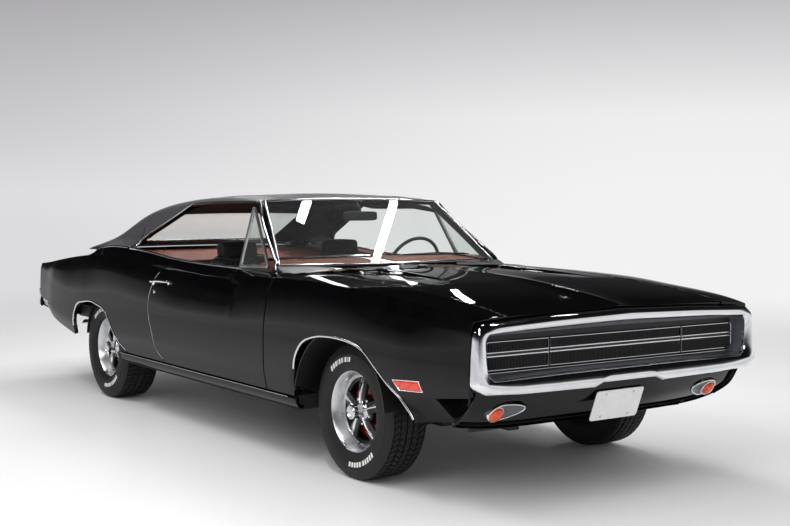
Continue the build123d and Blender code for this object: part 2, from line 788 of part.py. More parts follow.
def exhaust_right():
    y = -230
    z = 214
    down = rod((front_axle - 400, -205, z), (front_axle - 400, -205, 329.7), 28)
    lead = rod((front_axle - 400, -205, z), (front_axle - 560, y, z), 28)
    pipe = rod((front_axle - 560, y, z), (rear_axle + 700, y, z), 28)
    muffler = box(rear_axle + 250, rear_axle + 720, y - 120, y + 90, 152, 256)
    return down + lead + pipe + muffler


def fuel_tank():
    return box(tail_x + 210, rear_axle - 330, -420, 420, 330, rear_floor_z - 24.3)


def seat_right():
    """Front bucket seat: frame, cushion, back and the pad above it."""
    y = -385
    w = 220
    x = firewall_x - 720
    z = pan_top
    base = box(x - 440, x - 60, y - 180, y + 180, z, z + 90)
    cushion = box(x - 480, x, y - w, y + w, z + 90.3, z + 240)
    lean = [(x - 400, z + 240.3), (x - 510, z + 240.3), (x - 640, z + 660), (x - 540, z + 660)]
    back = side_plate(lean, y - w, y + w)
    head = box(x - 650, x - 560, y - 150, y + 150, z + 660.3, z + 780)
    return base, cushion, back, head


def rear_seat():
    x = kick_x
    w = 570
    hump = tunnel_half + 0.3
    cushion_top = pan_top + 240
    back_top = shelf_z - 20.3
    cushion = box(x + 4.3, x + 490, -w, w, pan_top + 0.3, cushion_top)
    cushion = cushion - box(x - 5, x + 500, -hump, hump, pan_top - 5, tunnel_top + 0.3)
    low = cushion_top + 0.3
    lean = [(x + 110, low), (x - 20, low), (x - 100, back_top), (x, back_top)]
    return cushion, side_plate(lean, -w, w)


def package_shelf():
    w = half - quarter_wall - 0.3
    z = shelf_z - 20
    lip_half = half - door_thickness - shelf_lip_clear
    lip = box(kick_x - 104, kick_x, -lip_half, lip_half, z, shelf_z)
    return box(backlight_foot - 12, kick_x - 102, -w, w, z, shelf_z) + lip


def dashboard():
    x = firewall_x - 0.3
    points = [
        (x, 900), (x - 140, 915), (x - 280, 890), (x - 290, 800), (x - 240, 690), (x - 60, 640), (x, 640),
    ]
    body = side_plate(points, -(cowl_half - 2), cowl_half - 2)
    return body - column_rod(32.3)


wheel_centre = (front_axle - 1205, 385, 935)
column_lean = 20.0


def column_rod(radius):
    dx = cos(radians(column_lean))
    dz = -sin(radians(column_lean))
    x, y, z = wheel_centre
    return rod((x + 29.4 * dx, y, z + 29.4 * dz), (x + 260 * dx, y, z + 260 * dz), radius)


def steering_column():
    return column_rod(32)


def steering_wheel():
    dx = cos(radians(column_lean))
    dz = -sin(radians(column_lean))
    x, y, z = wheel_centre
    plane = Plane(origin=(x, y, z), z_dir=(dx, 0, dz))
    ring = plane * Torus(188, 12)
    hub = rod((x - 14 * dx, y, z - 14 * dz), (x + 29 * dx, y, z + 29 * dz), 42)
    body = ring + hub
    for k in range(3):
        spoke = Rot(0, 0, 120 * k) * (Pos(108, 0, 0) * Box(160, 26, 8))
        body = body + plane * spoke
    return body


def bumper_loop():
    """Chrome bar that runs right round the grille opening, with its two brackets."""
    x0 = nose_x - bumper_depth
    outline = [(-896, 548), (896, 548), (884, 800), (852, 838), (0, 866), (-852, 838), (-884, 800)]
    opening = [(-824, 600), (824, 600), (832, 790), (0, 812), (-832, 790)]
    body = front_plate(outline, x0, nose_x) - front_plate(opening, x0 - 5, nose_x + 5)
    for s in (-1, 1):
        body = body + box(nose_x - 322, x0 + 2, s * 385, s * 425, 556, 590)
    return body


def grille():
    """Grille panel with its double bar, and the walls that line the bumper's opening."""
    x0 = nose_x - 104
    x1 = nose_x - bumper_depth
    out = half - grille_wall_tuck
    side = out - grille_wall_thick
    walls = front_plate([(-out, 592), (out, 592), (out, 812), (-out, 812)], x0, x1)
    walls = walls - box(x0 - 5, x1 + 5, -side, side, 612, 792)
    body = walls + box(x0, x0 + 14, -grille_half, grille_half, 610, 794)
    for z in (686, 706):
        body = body + box(x0 + 10, x0 + 28, -grille_half, grille_half, z, z + 9)
    return body


def headlamp_door_right():
    """Lifting panel with two arms back to its pivots."""
    x0 = nose_x - 104
    inner = grille_half + panel_gap
    panel = box(x0, x0 + 14, -headlamp_door_out, -inner, 630, 758)
    px, pz = headlamp_pin
    body = panel
    for y0, y1 in ((-headlamp_door_out, -headlamp_door_out + 8), (-inner - 8, -inner)):
        arm = box(px, x0 + 2, y0, y1, pz - 14, pz + 14) + rod((px, y0, pz), (px, y1, pz), 14)
        body = body + arm - rod((px, y0 - 1, pz), (px, y1 + 1, pz), headlamp_pin_radius + pin_clear)
    return body


def headlamps_right():
    """Two round lamps on their plate, the strut to the radiator panel and the pivot ears."""
    px, pz = headlamp_pin
    x = px - 36
    inner = grille_half + panel_gap
    body = box(x - 14, x + 2, -headlamp_door_out + 9, -inner - 9, pz - 72, pz + 72)
    for y in lamp_offsets:
        body = body + rod((x, -y, pz), (x + 70, -y, pz), lamp_radius)
    body = body + box(nose_x - 322, x - 12, 20 - lamp_offsets[1], -30 - lamp_offsets[0], 660, 700)
    outer = -headlamp_door_out
    # Columns: the pin's two ends and the ear's two sides, which stay 1 mm off the door's arm.
    rows = [
        (outer, outer + 15, outer + 9, outer + 15),
        (-inner - 15, -inner, -inner - 15, -inner - 9),
    ]
    for pin_0, pin_1, ear_0, ear_1 in rows:
        body = body + box(x - 2, px + 8, ear_0, ear_1, pz - 10, pz + 10)
        body = body + rod((px, pin_0, pz), (px, pin_1, pz), headlamp_pin_radius)
    return body


def valance():
    """Sloping panel below the bumper, with the plate's bracket."""
    x = nose_x
    points = [
        (x - 34, 547.7), (x - 70, 505), (x - 112, 440), (x - 236, 352), (x - 242, 362), (x - 126, 450),
        (x - 84, 510), (x - 62, 547.7),
    ]
    return side_plate(points, -850, 850) + plate_plane * (Pos(0, 30, -26) * Box(80, 30, 51.4))


plate_normal = (cos(radians(plate_lean)), 0, -sin(radians(plate_lean)))
plate_plane = Plane(origin=(nose_x - 88, 0, 420), x_dir=(0, 1, 0), z_dir=plate_normal)


def plate():
    return plate_plane * (Pos(0, 0, 1) * Box(305, 152, 2))


def tail_panel():
    """Upright panel across the tail, from the deck lid down behind the bumper."""
    x = tail_x + 88
    body = box(x, x + 24, -(half - 102), half - 102, 430, 848)
    for y in (-plate_hole_half, plate_hole_half):
        body = body - rod((x - 5, y, plate_hole_z), (x + 30, y, plate_hole_z), plate_hole_radius)
    return body


def tail_lamps():
    x = tail_x + 60
    return [box(x, x + 27.7, s * 250, s * 850, 660, 780) for s in (-1, 1)]


def rear_bumper():
    bar = box(tail_x, tail_x + 60, -(half - 50), half - 50, 480, 630)
    ends = [box(tail_x + 55, tail_x + 290, s * (half - 68), s * (half - 34), 490, 600) for s in (-1, 1)]
    arms = [box(tail_x + 55, tail_x + 87.7, s * 530, s * 585, 490, 560) for s in (-1, 1)]
    body = bar
    for piece in ends + arms:
        body = body + piece
    return body


def steering_link():
    """Relay rod between the two steering arms, its flat eyes riding on the arms."""
    z = steer_arm_z + steer_arm_thick + pin_clear
    x = front_axle - steer_arm_back
    return box(x - 12, x + 12, -steer_link_half, steer_link_half, z, z + 18)


def main():
    save_pair("door", door_right())
    save_pair("rear_quarter", quarter_right())
    save_pair("front_fender", fender_right())
    save("hood", hood())
    save("deck_lid", deck_lid())
    shell, joint = greenhouse()
    front_half = box(joint, nose_x, -half, half, 0, 2000)
    save("roof", shell - front_half)
    save("windshield_frame", shell & front_half)
    save("windshield", windshield())
    save("rear_window", rear_window())
    wheels()
    save_pair("knuckle", knuckle_right())
    save("floor_pan", floor())
    door_hinges = door_hinges_right()
    save("hinges", *door_hinges, *[mirrored(q) for q in door_hinges], *lid_hinges())
    save_pair("vent_window", vent_window_right())
    wheelhouse = wheelhouse_right()
    save("rear_wheelhouses", wheelhouse, mirrored(wheelhouse))
    save("cowl_firewall", cowl())
    apron = inner_fender_right()
    save("inner_fenders", apron, mirrored(apron))
    save("front_subframe", front_subframe())
    save("radiator_support", radiator_support())
    save("rear_frame_rails", rear_frame(), mirrored(rear_frame()))
    save("leaf_springs", leaf_spring_right(), mirrored(leaf_spring_right()))
    save("rear_axle", rear_axle_beam())
    save("engine_block", engine())
    save("transmission", transmission())
    save("driveshaft", driveshaft())
    save("exhaust_pipes", exhaust_right(), mirrored(exhaust_right()))
    save("fuel_tank", fuel_tank())
    seat = seat_right()
    save("front_seat_right", *seat)
    save("front_seat_left", *[mirrored(q) for q in seat])
    save("rear_seat", *rear_seat())
    save("package_shelf", package_shelf())
    save("dashboard", dashboard())
    save("steering_column", steering_column())
    save("steering_wheel", steering_wheel())
    save("front_bumper", bumper_loop())
    save("grille", grille())
    save_pair("headlamp_door", headlamp_door_right())
    save("headlamps", headlamps_right(), mirrored(headlamps_right()))
    save("front_valance", valance())
    save("licence_plate", plate())
    save("tail_panel", tail_panel())
    save("tail_lamps", *tail_lamps())
    save("rear_bumper", rear_bumper())
    save("steering_link", steering_link())


main()
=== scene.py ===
import bmesh
import bpy
import math
import numpy as np
from mathutils import Matrix, Vector


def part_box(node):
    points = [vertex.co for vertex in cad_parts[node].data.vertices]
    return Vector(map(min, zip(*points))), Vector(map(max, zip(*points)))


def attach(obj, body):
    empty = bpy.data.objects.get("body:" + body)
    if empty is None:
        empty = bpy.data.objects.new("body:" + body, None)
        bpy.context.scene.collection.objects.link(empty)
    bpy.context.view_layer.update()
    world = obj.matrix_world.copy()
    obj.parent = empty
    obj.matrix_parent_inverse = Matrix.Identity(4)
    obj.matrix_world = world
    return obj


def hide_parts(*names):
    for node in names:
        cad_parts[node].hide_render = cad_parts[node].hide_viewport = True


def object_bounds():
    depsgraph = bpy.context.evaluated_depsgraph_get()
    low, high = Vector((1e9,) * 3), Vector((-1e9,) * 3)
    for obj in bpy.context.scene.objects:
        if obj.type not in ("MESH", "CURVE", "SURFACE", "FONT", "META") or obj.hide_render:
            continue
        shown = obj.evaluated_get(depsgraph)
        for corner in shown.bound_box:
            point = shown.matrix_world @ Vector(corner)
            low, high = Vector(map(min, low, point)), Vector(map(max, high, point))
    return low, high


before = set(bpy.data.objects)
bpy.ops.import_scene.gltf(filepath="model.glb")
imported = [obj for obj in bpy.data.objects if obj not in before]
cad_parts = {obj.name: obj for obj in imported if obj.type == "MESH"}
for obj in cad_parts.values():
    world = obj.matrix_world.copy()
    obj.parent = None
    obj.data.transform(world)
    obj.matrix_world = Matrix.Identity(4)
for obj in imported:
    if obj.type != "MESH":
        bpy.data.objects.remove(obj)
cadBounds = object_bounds()
print("frame loaded")

# Lengths in the shape tables are millimetres: +X forward, +Y to the driver's side, +Z up.
mm = 0.001
body = {
    "nose": 2641.5, "frontAxle": 1637.5, "rearAxle": -1334.5,
    "doorFront": 951.5, "doorRear": -377.5, "gap": 6.0, "hoodHalf": 697.0, "deckHalf": 640.0,
    "hoodRear": 931.5, "hoodFront": 2565.5, "deckFront": -1624.5, "deckRear": -2523.5,
}


def lin(hexColour, alpha=1.0):
    # sRGB hex to linear
    out = []
    for k in (0, 2, 4):
        c = int(hexColour[k:k + 2], 16) / 255
        out.append(c / 12.92 if c <= 0.04045 else ((c + 0.055) / 1.055) ** 2.4)
    return (*out, alpha)


def smooth(rows, x):
    # monotone cubic through a table of rows (x, value, value, ...): rows at any x, no overshoot
    rows = sorted(rows)
    xs = np.array([r[0] for r in rows], float)
    ys = np.array([r[1:] for r in rows], float)
    x = np.clip(np.atleast_1d(np.asarray(x, float)), xs[0], xs[-1])
    h = np.diff(xs)[:, None]
    d = np.diff(ys, axis=0) / h
    m = np.zeros_like(ys)
    m[0], m[-1] = d[0], d[-1]
    for i in range(1, len(xs) - 1):
        w1 = 2 * h[i] + h[i - 1]
        w2 = h[i] + 2 * h[i - 1]
        both = d[i - 1] * d[i] > 0
        safe0 = np.where(both, d[i - 1], 1)
        safe1 = np.where(both, d[i], 1)
        m[i] = np.where(both, (w1 + w2) / (w1 / safe0 + w2 / safe1), 0)
    k = np.clip(np.searchsorted(xs, x) - 1, 0, len(xs) - 2)
    hk = h[k]
    t = ((x - xs[k]) / hk[:, 0])[:, None]
    return ((2 * t ** 3 - 3 * t ** 2 + 1) * ys[k] + (t ** 3 - 2 * t ** 2 + t) * hk * m[k]
            + (-2 * t ** 3 + 3 * t ** 2) * ys[k + 1] + (t ** 3 - t ** 2) * hk * m[k + 1])


def spline(points, count, closed=False):
    # evenly spaced points on a Catmull-Rom curve through the given ones
    p = np.array(points, float)
    if closed:
        p = np.vstack([p[-1], p, p[0], p[1]])
    else:
        p = np.vstack([2 * p[0] - p[1], p, 2 * p[-1] - p[-2]])
    fine = []
    for i in range(1, len(p) - 2):
        for t in np.linspace(0, 1, 24, endpoint=False):
            a, b, c, d = p[i - 1:i + 3]
            square, cube = 2 * a - 5 * b + 4 * c - d, 3 * b - a - 3 * c + d
            fine.append(0.5 * (2 * b + (c - a) * t + square * t * t + cube * t ** 3))
    fine = np.array(fine + [p[-2]])
    s = np.r_[0, np.cumsum(np.linalg.norm(np.diff(fine, axis=0), axis=1))]
    at = np.linspace(0, s[-1], count + 1 if closed else count)
    out = np.stack([np.interp(at, s, fine[:, k]) for k in range(fine.shape[1])], 1)
    return out[:-1] if closed else out


def polyline(points, step):
    # the same line with points no further apart than step, corners kept
    out = [np.array(points[0], float)]
    for a, b in zip(points, points[1:]):
        a, b = np.array(a, float), np.array(b, float)
        n = max(1, int(math.ceil(np.linalg.norm(b - a) / step)))
        out += [a + (b - a) * k / n for k in range(1, n + 1)]
    return np.array(out)


def rounded(points, radius, count=5, closed=True):
    # polygon with its corners rounded
    p = [np.array(q, float) for q in points]
    out = []
    n = len(p)
    for i in range(n):
        if not closed and i in (0, n - 1):
            out.append(p[i])
            continue
        a, b, c = p[i - 1], p[i], p[(i + 1) % n]
        r = min(radius, np.linalg.norm(a - b) * 0.45, np.linalg.norm(c - b) * 0.45)
        s = b + (a - b) / np.linalg.norm(a - b) * r
        e = b + (c - b) / np.linalg.norm(c - b) * r
        for t in np.linspace(0, 1, count):
            out.append((1 - t) ** 2 * s + 2 * t * (1 - t) * b + t * t * e)
    return np.array(out)


def meshOf(name, verts, faces, material=None, flat=False):
    # new object from points in millimetres
    data = bpy.data.meshes.new(name)
    data.from_pydata([tuple(v) for v in np.asarray(verts, float) * mm], [], [tuple(int(i) for i in f) for f in faces])
    data.update()
    obj = bpy.data.objects.new(name, data)
    bpy.context.scene.collection.objects.link(obj)
    data.polygons.foreach_set("use_smooth", [not flat] * len(data.polygons))
    if material:
        data.materials.append(material)
    return obj


class Build:
    # gathers several surfaces into one mesh, each with its own material
    def __init__(self, name):
        self.name, self.verts, self.faces, self.slots, self.materials = name, [], [], [], []
        self.flats = []

    def slotOf(self, material):
        if material not in self.materials:
            self.materials.append(material)
        return self.materials.index(material)

    def add(self, verts, faces, material, flat=False, flip=False):
        base = len(self.verts)
        self.verts += [tuple(v) for v in verts]
        k = self.slotOf(material)
        for f in faces:
            f = [base + int(i) for i in f]
            self.faces.append(f[::-1] if flip else f)
            self.slots.append(k)
            self.flats.append(flat)
        return self

    def grid(self, points, material, closedU=False, closedV=False, flip=False, flat=False):
        # points[u][v] -> quads
        p = np.asarray(points, float)
        nu, nv = p.shape[:2]
        faces = []
        for i in range(nu if closedU else nu - 1):
            for j in range(nv if closedV else nv - 1):
                a, b = i * nv + j, i * nv + (j + 1) % nv
                c, d = ((i + 1) % nu) * nv + (j + 1) % nv, ((i + 1) % nu) * nv + j
                faces.append((a, b, c, d))
        return self.add(p.reshape(-1, 3), faces, material, flat, flip)

    def pan(self, points, material, depth=(18, 18, 18, 18), radius=2.5, flip=False, inner=None, thick=1.0):
        # pressed panel: the grid's edges (first u, last u, first v, last v) roll over and turn in by depth
        p = np.asarray(points, float)
        steps = [(radius * 2.2, 0), (radius, 0), (radius * 0.5, radius * 0.13), (radius * 0.13, radius * 0.5),
                 (0, radius)]
        tu = np.gradient(p, axis=0)
        tv = np.gradient(p, axis=1)
        tu /= np.linalg.norm(tu, axis=2)[..., None] + 1e-9
        tv /= np.linalg.norm(tv, axis=2)[..., None] + 1e-9
        nn = np.cross(tu, tv)
        nn /= np.linalg.norm(nn, axis=2)[..., None] + 1e-9
        if flip:
            nn = -nn

        def lines(n, first, last):
            rows = []
            if first is not None:
                rows += [(0, 0, first)] + [(0, i, d) for i, d in steps[::-1]]
            else:
                rows.append((0, 0, 0))
            rows += [(k, 0, 0) for k in range(1, n - 1)]
            if last is not None:
                rows += [(n - 1, -i, d) for i, d in steps] + [(n - 1, 0, last)]
            else:
                rows.append((n - 1, 0, 0))
            return rows
        us, vs = lines(p.shape[0], depth[0], depth[1]), lines(p.shape[1], depth[2], depth[3])
        out = np.zeros((len(us), len(vs), 3))
        for i, (a, ia, da) in enumerate(us):
            for j, (b, ib, db) in enumerate(vs):
                out[i, j] = p[a, b] + tu[a, b] * ia + tv[a, b] * ib - nn[a, b] * max(da, db)
        self.grid(out, material, flip=flip)
        if inner:
            back = p - nn * thick
            self.grid(back, inner, flip=not flip)
        return self

    def fan(self, ring, material, flip=False, flat=True):
        # closes a ring with one face
        ring = np.asarray(ring, float)
        return self.add(ring, [list(range(len(ring)))], material, flat, flip)

    def closeEnds(self, rows, material):
        # one face over the first row and one over the last, facing away from each other
        self.fan(rows[0], material)
        return self.fan(rows[-1], material, flip=True)

    def box(self, x0, x1, y0, y1, z0, z1, material, bevel=3.0):
        # block with its edges and corners cut at 45 degrees
        lo, hi = np.minimum((x0, y0, z0), (x1, y1, z1)), np.maximum((x0, y0, z0), (x1, y1, z1))
        r = min(bevel, (hi - lo).min() * 0.4)
        verts, index = [], {}
        for k in range(8):
            s = np.array([1 if k >> a & 1 else -1 for a in range(3)])
            corner = np.where(s > 0, hi, lo)
            for a in range(3):
                p = corner - s * r
                p[a] = corner[a]
                index[(tuple(s), a)] = len(verts)
                verts.append(p)
        faces = []
        for a in range(3):
            b, c = (a + 1) % 3, (a + 2) % 3

            def at(sa, sb, sc, face):
                s = [0, 0, 0]
                s[a], s[b], s[c] = sa, sb, sc
                return index[(tuple(s), face)]
            for s in (-1, 1):
                f = [at(s, -1, -1, a), at(s, 1, -1, a), at(s, 1, 1, a), at(s, -1, 1, a)]
                faces.append(f if s > 0 else f[::-1])
            for sb in (-1, 1):
                for sc in (-1, 1):
                    f = [at(-1, sb, sc, b), at(1, sb, sc, b), at(1, sb, sc, c), at(-1, sb, sc, c)]
                    faces.append(f if sb * sc < 0 else f[::-1])
        for k in range(8):
            s = tuple(1 if k >> a & 1 else -1 for a in range(3))
            f = [index[(s, a)] for a in range(3)]
            faces.append(f if s[0] * s[1] * s[2] > 0 else f[::-1])
        return self.add(verts, faces, material)

    def revolve(self, profile, origin, axis, material, count=48, start=0.0, sweep=360.0, flip=False):
        # profile rows (radius, along the axis)
        axis = np.array(axis, float) / np.linalg.norm(axis)
        side = np.cross(axis, (0, 0, 1) if abs(axis[2]) < 0.9 else (1, 0, 0))
        side /= np.linalg.norm(side)
        up = np.cross(axis, side)
        full = abs(sweep - 360) < 1e-6
        turns = np.radians(start + np.linspace(0, sweep, count + (0 if full else 1), endpoint=not full))
        rows = [[np.array(origin) + axis * a + (side * math.cos(t) + up * math.sin(t)) * r for r, a in profile]
                for t in turns]
        return self.grid(rows, material, closedU=full, flip=flip)

    def sweep(self, path, profile, material, up=(0, 0, 1), closed=False, ups=None, cap=True, flip=False, scale=None):
        # profile (across, out) carried along the path; out follows up, made square to the path
        path = np.asarray(path, float)
        n = len(path)
        rows = []
        for i in range(n):
            a = path[i - 1] if (closed or i) else path[i]
            b = path[(i + 1) % n] if (closed or i < n - 1) else path[i]
            t = (b - a) / np.linalg.norm(b - a)
            u = np.array(ups[i] if ups is not None else up, float)
            u = u - t * (u @ t)
            u /= np.linalg.norm(u)
            s = np.cross(t, u)
            k = 1 if scale is None else scale[i]
            rows.append([path[i] + (s * q[0] + u * q[1]) * k for q in profile])
        self.grid(rows, material, closedU=closed, closedV=True, flip=flip)
        if cap and not closed:
            self.fan(rows[0], material, flip=not flip)
            self.fan(rows[-1], material, flip=flip)
        return self

    def tube(self, path, radius, material, count=10, closed=False, cap=True, up=None):
        ring = [(radius * math.cos(t), radius * math.sin(t)) for t in np.linspace(0, 2 * math.pi, count,
            endpoint=False)]
        path = np.asarray(path, float)
        if up is None:
            t = path[-1] - path[0]
            up = (0, 0, 1) if np.linalg.norm(t) < 1e-6 or abs(t[2]) < 0.8 * np.linalg.norm(t) else (1, 0, 0)
        return self.sweep(path, ring, material, up=up, closed=closed, cap=cap)

    def make(self, recalc=False, merge=0.0, sharp=35.0, mirror=False):
        verts = np.asarray(self.verts, float)
        faces = self.faces
        if mirror:
            verts = verts * np.array((1, -1, 1))
            faces = [f[::-1] for f in faces]
        obj = meshOf(self.name, verts, faces)
        data = obj.data
        for m in self.materials:
            data.materials.append(m)
        data.polygons.foreach_set("material_index", self.slots)
        data.polygons.foreach_set("use_smooth", [not f for f in self.flats])
        if merge or recalc:
            bm = bmesh.new()
            bm.from_mesh(data)
            if merge:
                bmesh.ops.remove_doubles(bm, verts=bm.verts, dist=merge * mm)
            if recalc:
                bmesh.ops.recalc_face_normals(bm, faces=bm.faces)
            bm.to_mesh(data)
            bm.free()
        if sharp:
            data.set_sharp_from_angle(angle=math.radians(sharp))
        return obj


def place(obj, bodyName, slotName, *nodes):
    # the piece rides on its body and stands for its CAD nodes
    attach(obj, bodyName)
    if nodes:
        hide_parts(*nodes)
    return obj


def pair(make, name, bodyName, slotName, *nodes):
    # a right-hand piece and its mirror image; {side} in the names is filled in
    for side in ("right", "left"):
        build = make()
        build.name = name + "_" + side
        obj = build.make(mirror=side == "left")
        place(obj, bodyName.format(side=side), slotName, *[n.format(side=side) for n in nodes])


def add(tree, kind, inputs=None, **settings):
    # one node with its settings; an input is a value or another node's output
    n = tree.nodes.new(kind)
    for k, v in settings.items():
        setattr(n, k, v)
    for k, v in (inputs or {}).items():
        if isinstance(v, bpy.types.NodeSocket):
            tree.links.new(v, n.inputs[k])
        else:
            n.inputs[k].default_value = v
    return n


def repeated(name, piece, count, step=(0, 0, 0), turn=(0, 0, 0), material=None, jitter=0.0):
    # the piece's mesh repeated count times, each one moved by step (mm) and turned by turn (degrees) more than the last
    tree = bpy.data.node_groups.new(name + "_rule", "GeometryNodeTree")
    face = tree.interface
    face.new_socket("Geometry", in_out="OUTPUT", socket_type="NodeSocketGeometry")
    sockets = {"Geometry": face.new_socket("Geometry", in_out="INPUT", socket_type="NodeSocketGeometry")}
    for label, kind in (("Count", "NodeSocketInt"), ("Step", "NodeSocketVector"), ("Turn", "NodeSocketVector"),
                        ("Jitter", "NodeSocketFloat"), ("Seed", "NodeSocketInt"), ("Finish", "NodeSocketMaterial")):
        sockets[label] = face.new_socket(label, in_out="INPUT", socket_type=kind)
    given = add(tree, "NodeGroupInput")
    points = add(tree, "GeometryNodePoints", {"Count": given.outputs["Count"]}).outputs[0]
    index = add(tree, "GeometryNodeInputIndex").outputs[0]
    offset = add(tree, "ShaderNodeVectorMath", {0: given.outputs["Step"], "Scale": index}, operation="SCALE").outputs[0]
    wobble = add(tree, "FunctionNodeRandomValue", {"Min": (-1.0, -1.0, -1.0), "Max": (1.0, 1.0, 1.0),
        "Seed": given.outputs["Seed"]}, data_type="FLOAT_VECTOR").outputs[0]
    shake = add(tree, "ShaderNodeVectorMath", {0: wobble, "Scale": given.outputs["Jitter"]},
                operation="SCALE").outputs[0]
    where = add(tree, "ShaderNodeVectorMath", {0: offset, 1: shake}, operation="ADD").outputs[0]
    placed = add(tree, "GeometryNodeSetPosition", {"Geometry": points, "Position": where}).outputs[0]
    angle = add(tree, "ShaderNodeVectorMath", {0: given.outputs["Turn"], "Scale": index}, operation="SCALE").outputs[0]
    copies = add(tree, "GeometryNodeInstanceOnPoints", {"Points": placed, "Instance": given.outputs["Geometry"],
        "Rotation": angle}).outputs[0]
    solid = add(tree, "GeometryNodeRealizeInstances", {"Geometry": copies}).outputs[0]
    done = add(tree, "GeometryNodeSetMaterial", {"Geometry": solid, "Material": given.outputs["Finish"]}).outputs[0]
    out = add(tree, "NodeGroupOutput")
    tree.links.new(done, out.inputs[0])
    obj = piece.make()
    mod = obj.modifiers.new("repeat", "NODES")
    mod.node_group = tree
    for label, value in (("Count", count), ("Step", tuple(s * mm for s in step)),
                         ("Turn", tuple(math.radians(t) for t in turn)), ("Jitter", jitter * mm), ("Seed", 7),
                         ("Finish", material)):
        mod[sockets[label].identifier] = value
    deps = bpy.context.evaluated_depsgraph_get()
    mesh = bpy.data.meshes.new_from_object(obj.evaluated_get(deps))
    bpy.data.objects.remove(obj)
    verts = np.zeros(len(mesh.vertices) * 3)
    mesh.vertices.foreach_get("co", verts)
    faces = [tuple(p.vertices) for p in mesh.polygons]
    bpy.data.meshes.remove(mesh)
    return verts.reshape(-1, 3) / mm, faces


def newMaterial(name):
    m = bpy.data.materials.new(name)
    m.use_nodes = True
    m.node_tree.nodes.clear()
    return m, m.node_tree


# the size in millimetres of the cloudy patches in every finish
cloudSize = 90.0


def perMm(size):
    # texture scale for a feature of this many millimetres on Object coordinates in metres
    return 1000.0 / size


def ramp(tree, fac, stops):
    n = add(tree, "ShaderNodeValToRGB", {"Fac": fac})
    n.color_ramp.elements[0].position, n.color_ramp.elements[0].color = stops[0]
    n.color_ramp.elements[1].position, n.color_ramp.elements[1].color = stops[-1]
    for pos, colour in stops[1:-1]:
        n.color_ramp.elements.new(pos).color = colour
    return n.outputs["Color"]


def surface(name, colours, rough, grain=None, metal=0.0, ior=1.5, coat=0.0, coatRough=0.03, sheen=0.0, level=0.5,
            stretch=(1, 1, 1)):
    # a finish: two colours clouded together, a roughness range, and a bump of a real size
    # grain: (kind, size mm, bump mm, strength)
    m, t = newMaterial(name)
    at = add(t, "ShaderNodeTexCoord").outputs["Object"]
    cloud = add(t, "ShaderNodeTexNoise", {"Vector": at, "Scale": perMm(cloudSize), "Detail": 5.0,
                                          "Roughness": 0.6}).outputs["Fac"]
    colour = ramp(t, cloud, [(0.32, lin(colours[0])), (0.68, lin(colours[1]))])
    roughness = add(t, "ShaderNodeMapRange", {"Value": cloud, "From Min": 0.3, "From Max": 0.7, "To Min": rough[0],
        "To Max": rough[1]}).outputs["Result"]
    shader = add(t, "ShaderNodeBsdfPrincipled", {"Base Color": colour, "Roughness": roughness})
    shader.inputs["Metallic"].default_value = metal
    if not metal:
        shader.inputs["IOR"].default_value = ior
        shader.inputs["Specular IOR Level"].default_value = level
    shader.inputs["Coat Weight"].default_value = coat
    shader.inputs["Coat Roughness"].default_value = coatRough
    shader.inputs["Sheen Weight"].default_value = sheen
    if grain:
        kind, size, height, strength = grain
        where = add(t, "ShaderNodeMapping", {"Vector": at, "Scale": stretch}).outputs["Vector"]
        if kind == "cells":
            h = add(t, "ShaderNodeTexVoronoi", {"Vector": where, "Scale": perMm(size), "Randomness": 0.9},
                    feature="SMOOTH_F1").outputs["Distance"]
        elif kind == "leather":
            warp = add(t, "ShaderNodeTexNoise", {"Vector": where, "Scale": perMm(size * 2.2),
                "Detail": 2.0}).outputs["Color"]
            bent = add(t, "ShaderNodeMixRGB", {"Fac": 0.03, "Color1": where, "Color2": warp}).outputs["Color"]
            h = add(t, "ShaderNodeTexVoronoi", {"Vector": bent, "Scale": perMm(size), "Randomness": 1.0},
                    feature="DISTANCE_TO_EDGE").outputs["Distance"]
            h = add(t, "ShaderNodeMapRange", {"Value": h, "From Min": 0.0, "From Max": 0.18}).outputs["Result"]
        elif kind == "weave":
            threads = {"Vector": where, "Scale": perMm(size) / 6.283 * 3.1416, "Distortion": 0.4}
            a, b = (add(t, "ShaderNodeTexWave", threads, bands_direction=way).outputs["Fac"] for way in "XY")
            h = add(t, "ShaderNodeMath", {0: a, 1: b}, operation="MULTIPLY").outputs["Value"]
        else:
            h = add(t, "ShaderNodeTexNoise", {"Vector": where, "Scale": perMm(size), "Detail": 3.0,
                "Roughness": 0.55}).outputs["Fac"]
        bump = add(t, "ShaderNodeBump", {"Height": h, "Distance": height * mm, "Strength": strength}).outputs["Normal"]
        t.links.new(bump, shader.inputs["Normal"])
        if coat:
            t.links.new(bump, shader.inputs["Coat Normal"])
    add(t, "ShaderNodeOutputMaterial", {"Surface": shader.outputs["BSDF"]})
    return m


def clearGlass(name, tint, ior=1.45, rough=0.0):
    # glass that is looked through; lamps shine through it
    m, t = newMaterial(name)
    at = add(t, "ShaderNodeTexCoord").outputs["Object"]
    haze = add(t, "ShaderNodeTexNoise", {"Vector": at, "Scale": perMm(260), "Detail": 2.0}).outputs["Fac"]
    colour = ramp(t, haze, [(0.3, lin(tint[0])), (0.7, lin(tint[1]))])
    solid = add(t, "ShaderNodeBsdfPrincipled", {"Base Color": colour, "Roughness": rough, "IOR": ior,
        "Transmission Weight": 1.0}).outputs["BSDF"]
    clear = add(t, "ShaderNodeBsdfTransparent", {"Color": colour}).outputs["BSDF"]
    shadow = add(t, "ShaderNodeLightPath").outputs["Is Shadow Ray"]
    out = add(t, "ShaderNodeMixShader", {0: shadow, 1: solid, 2: clear}).outputs["Shader"]
    add(t, "ShaderNodeOutputMaterial", {"Surface": out})
    return m


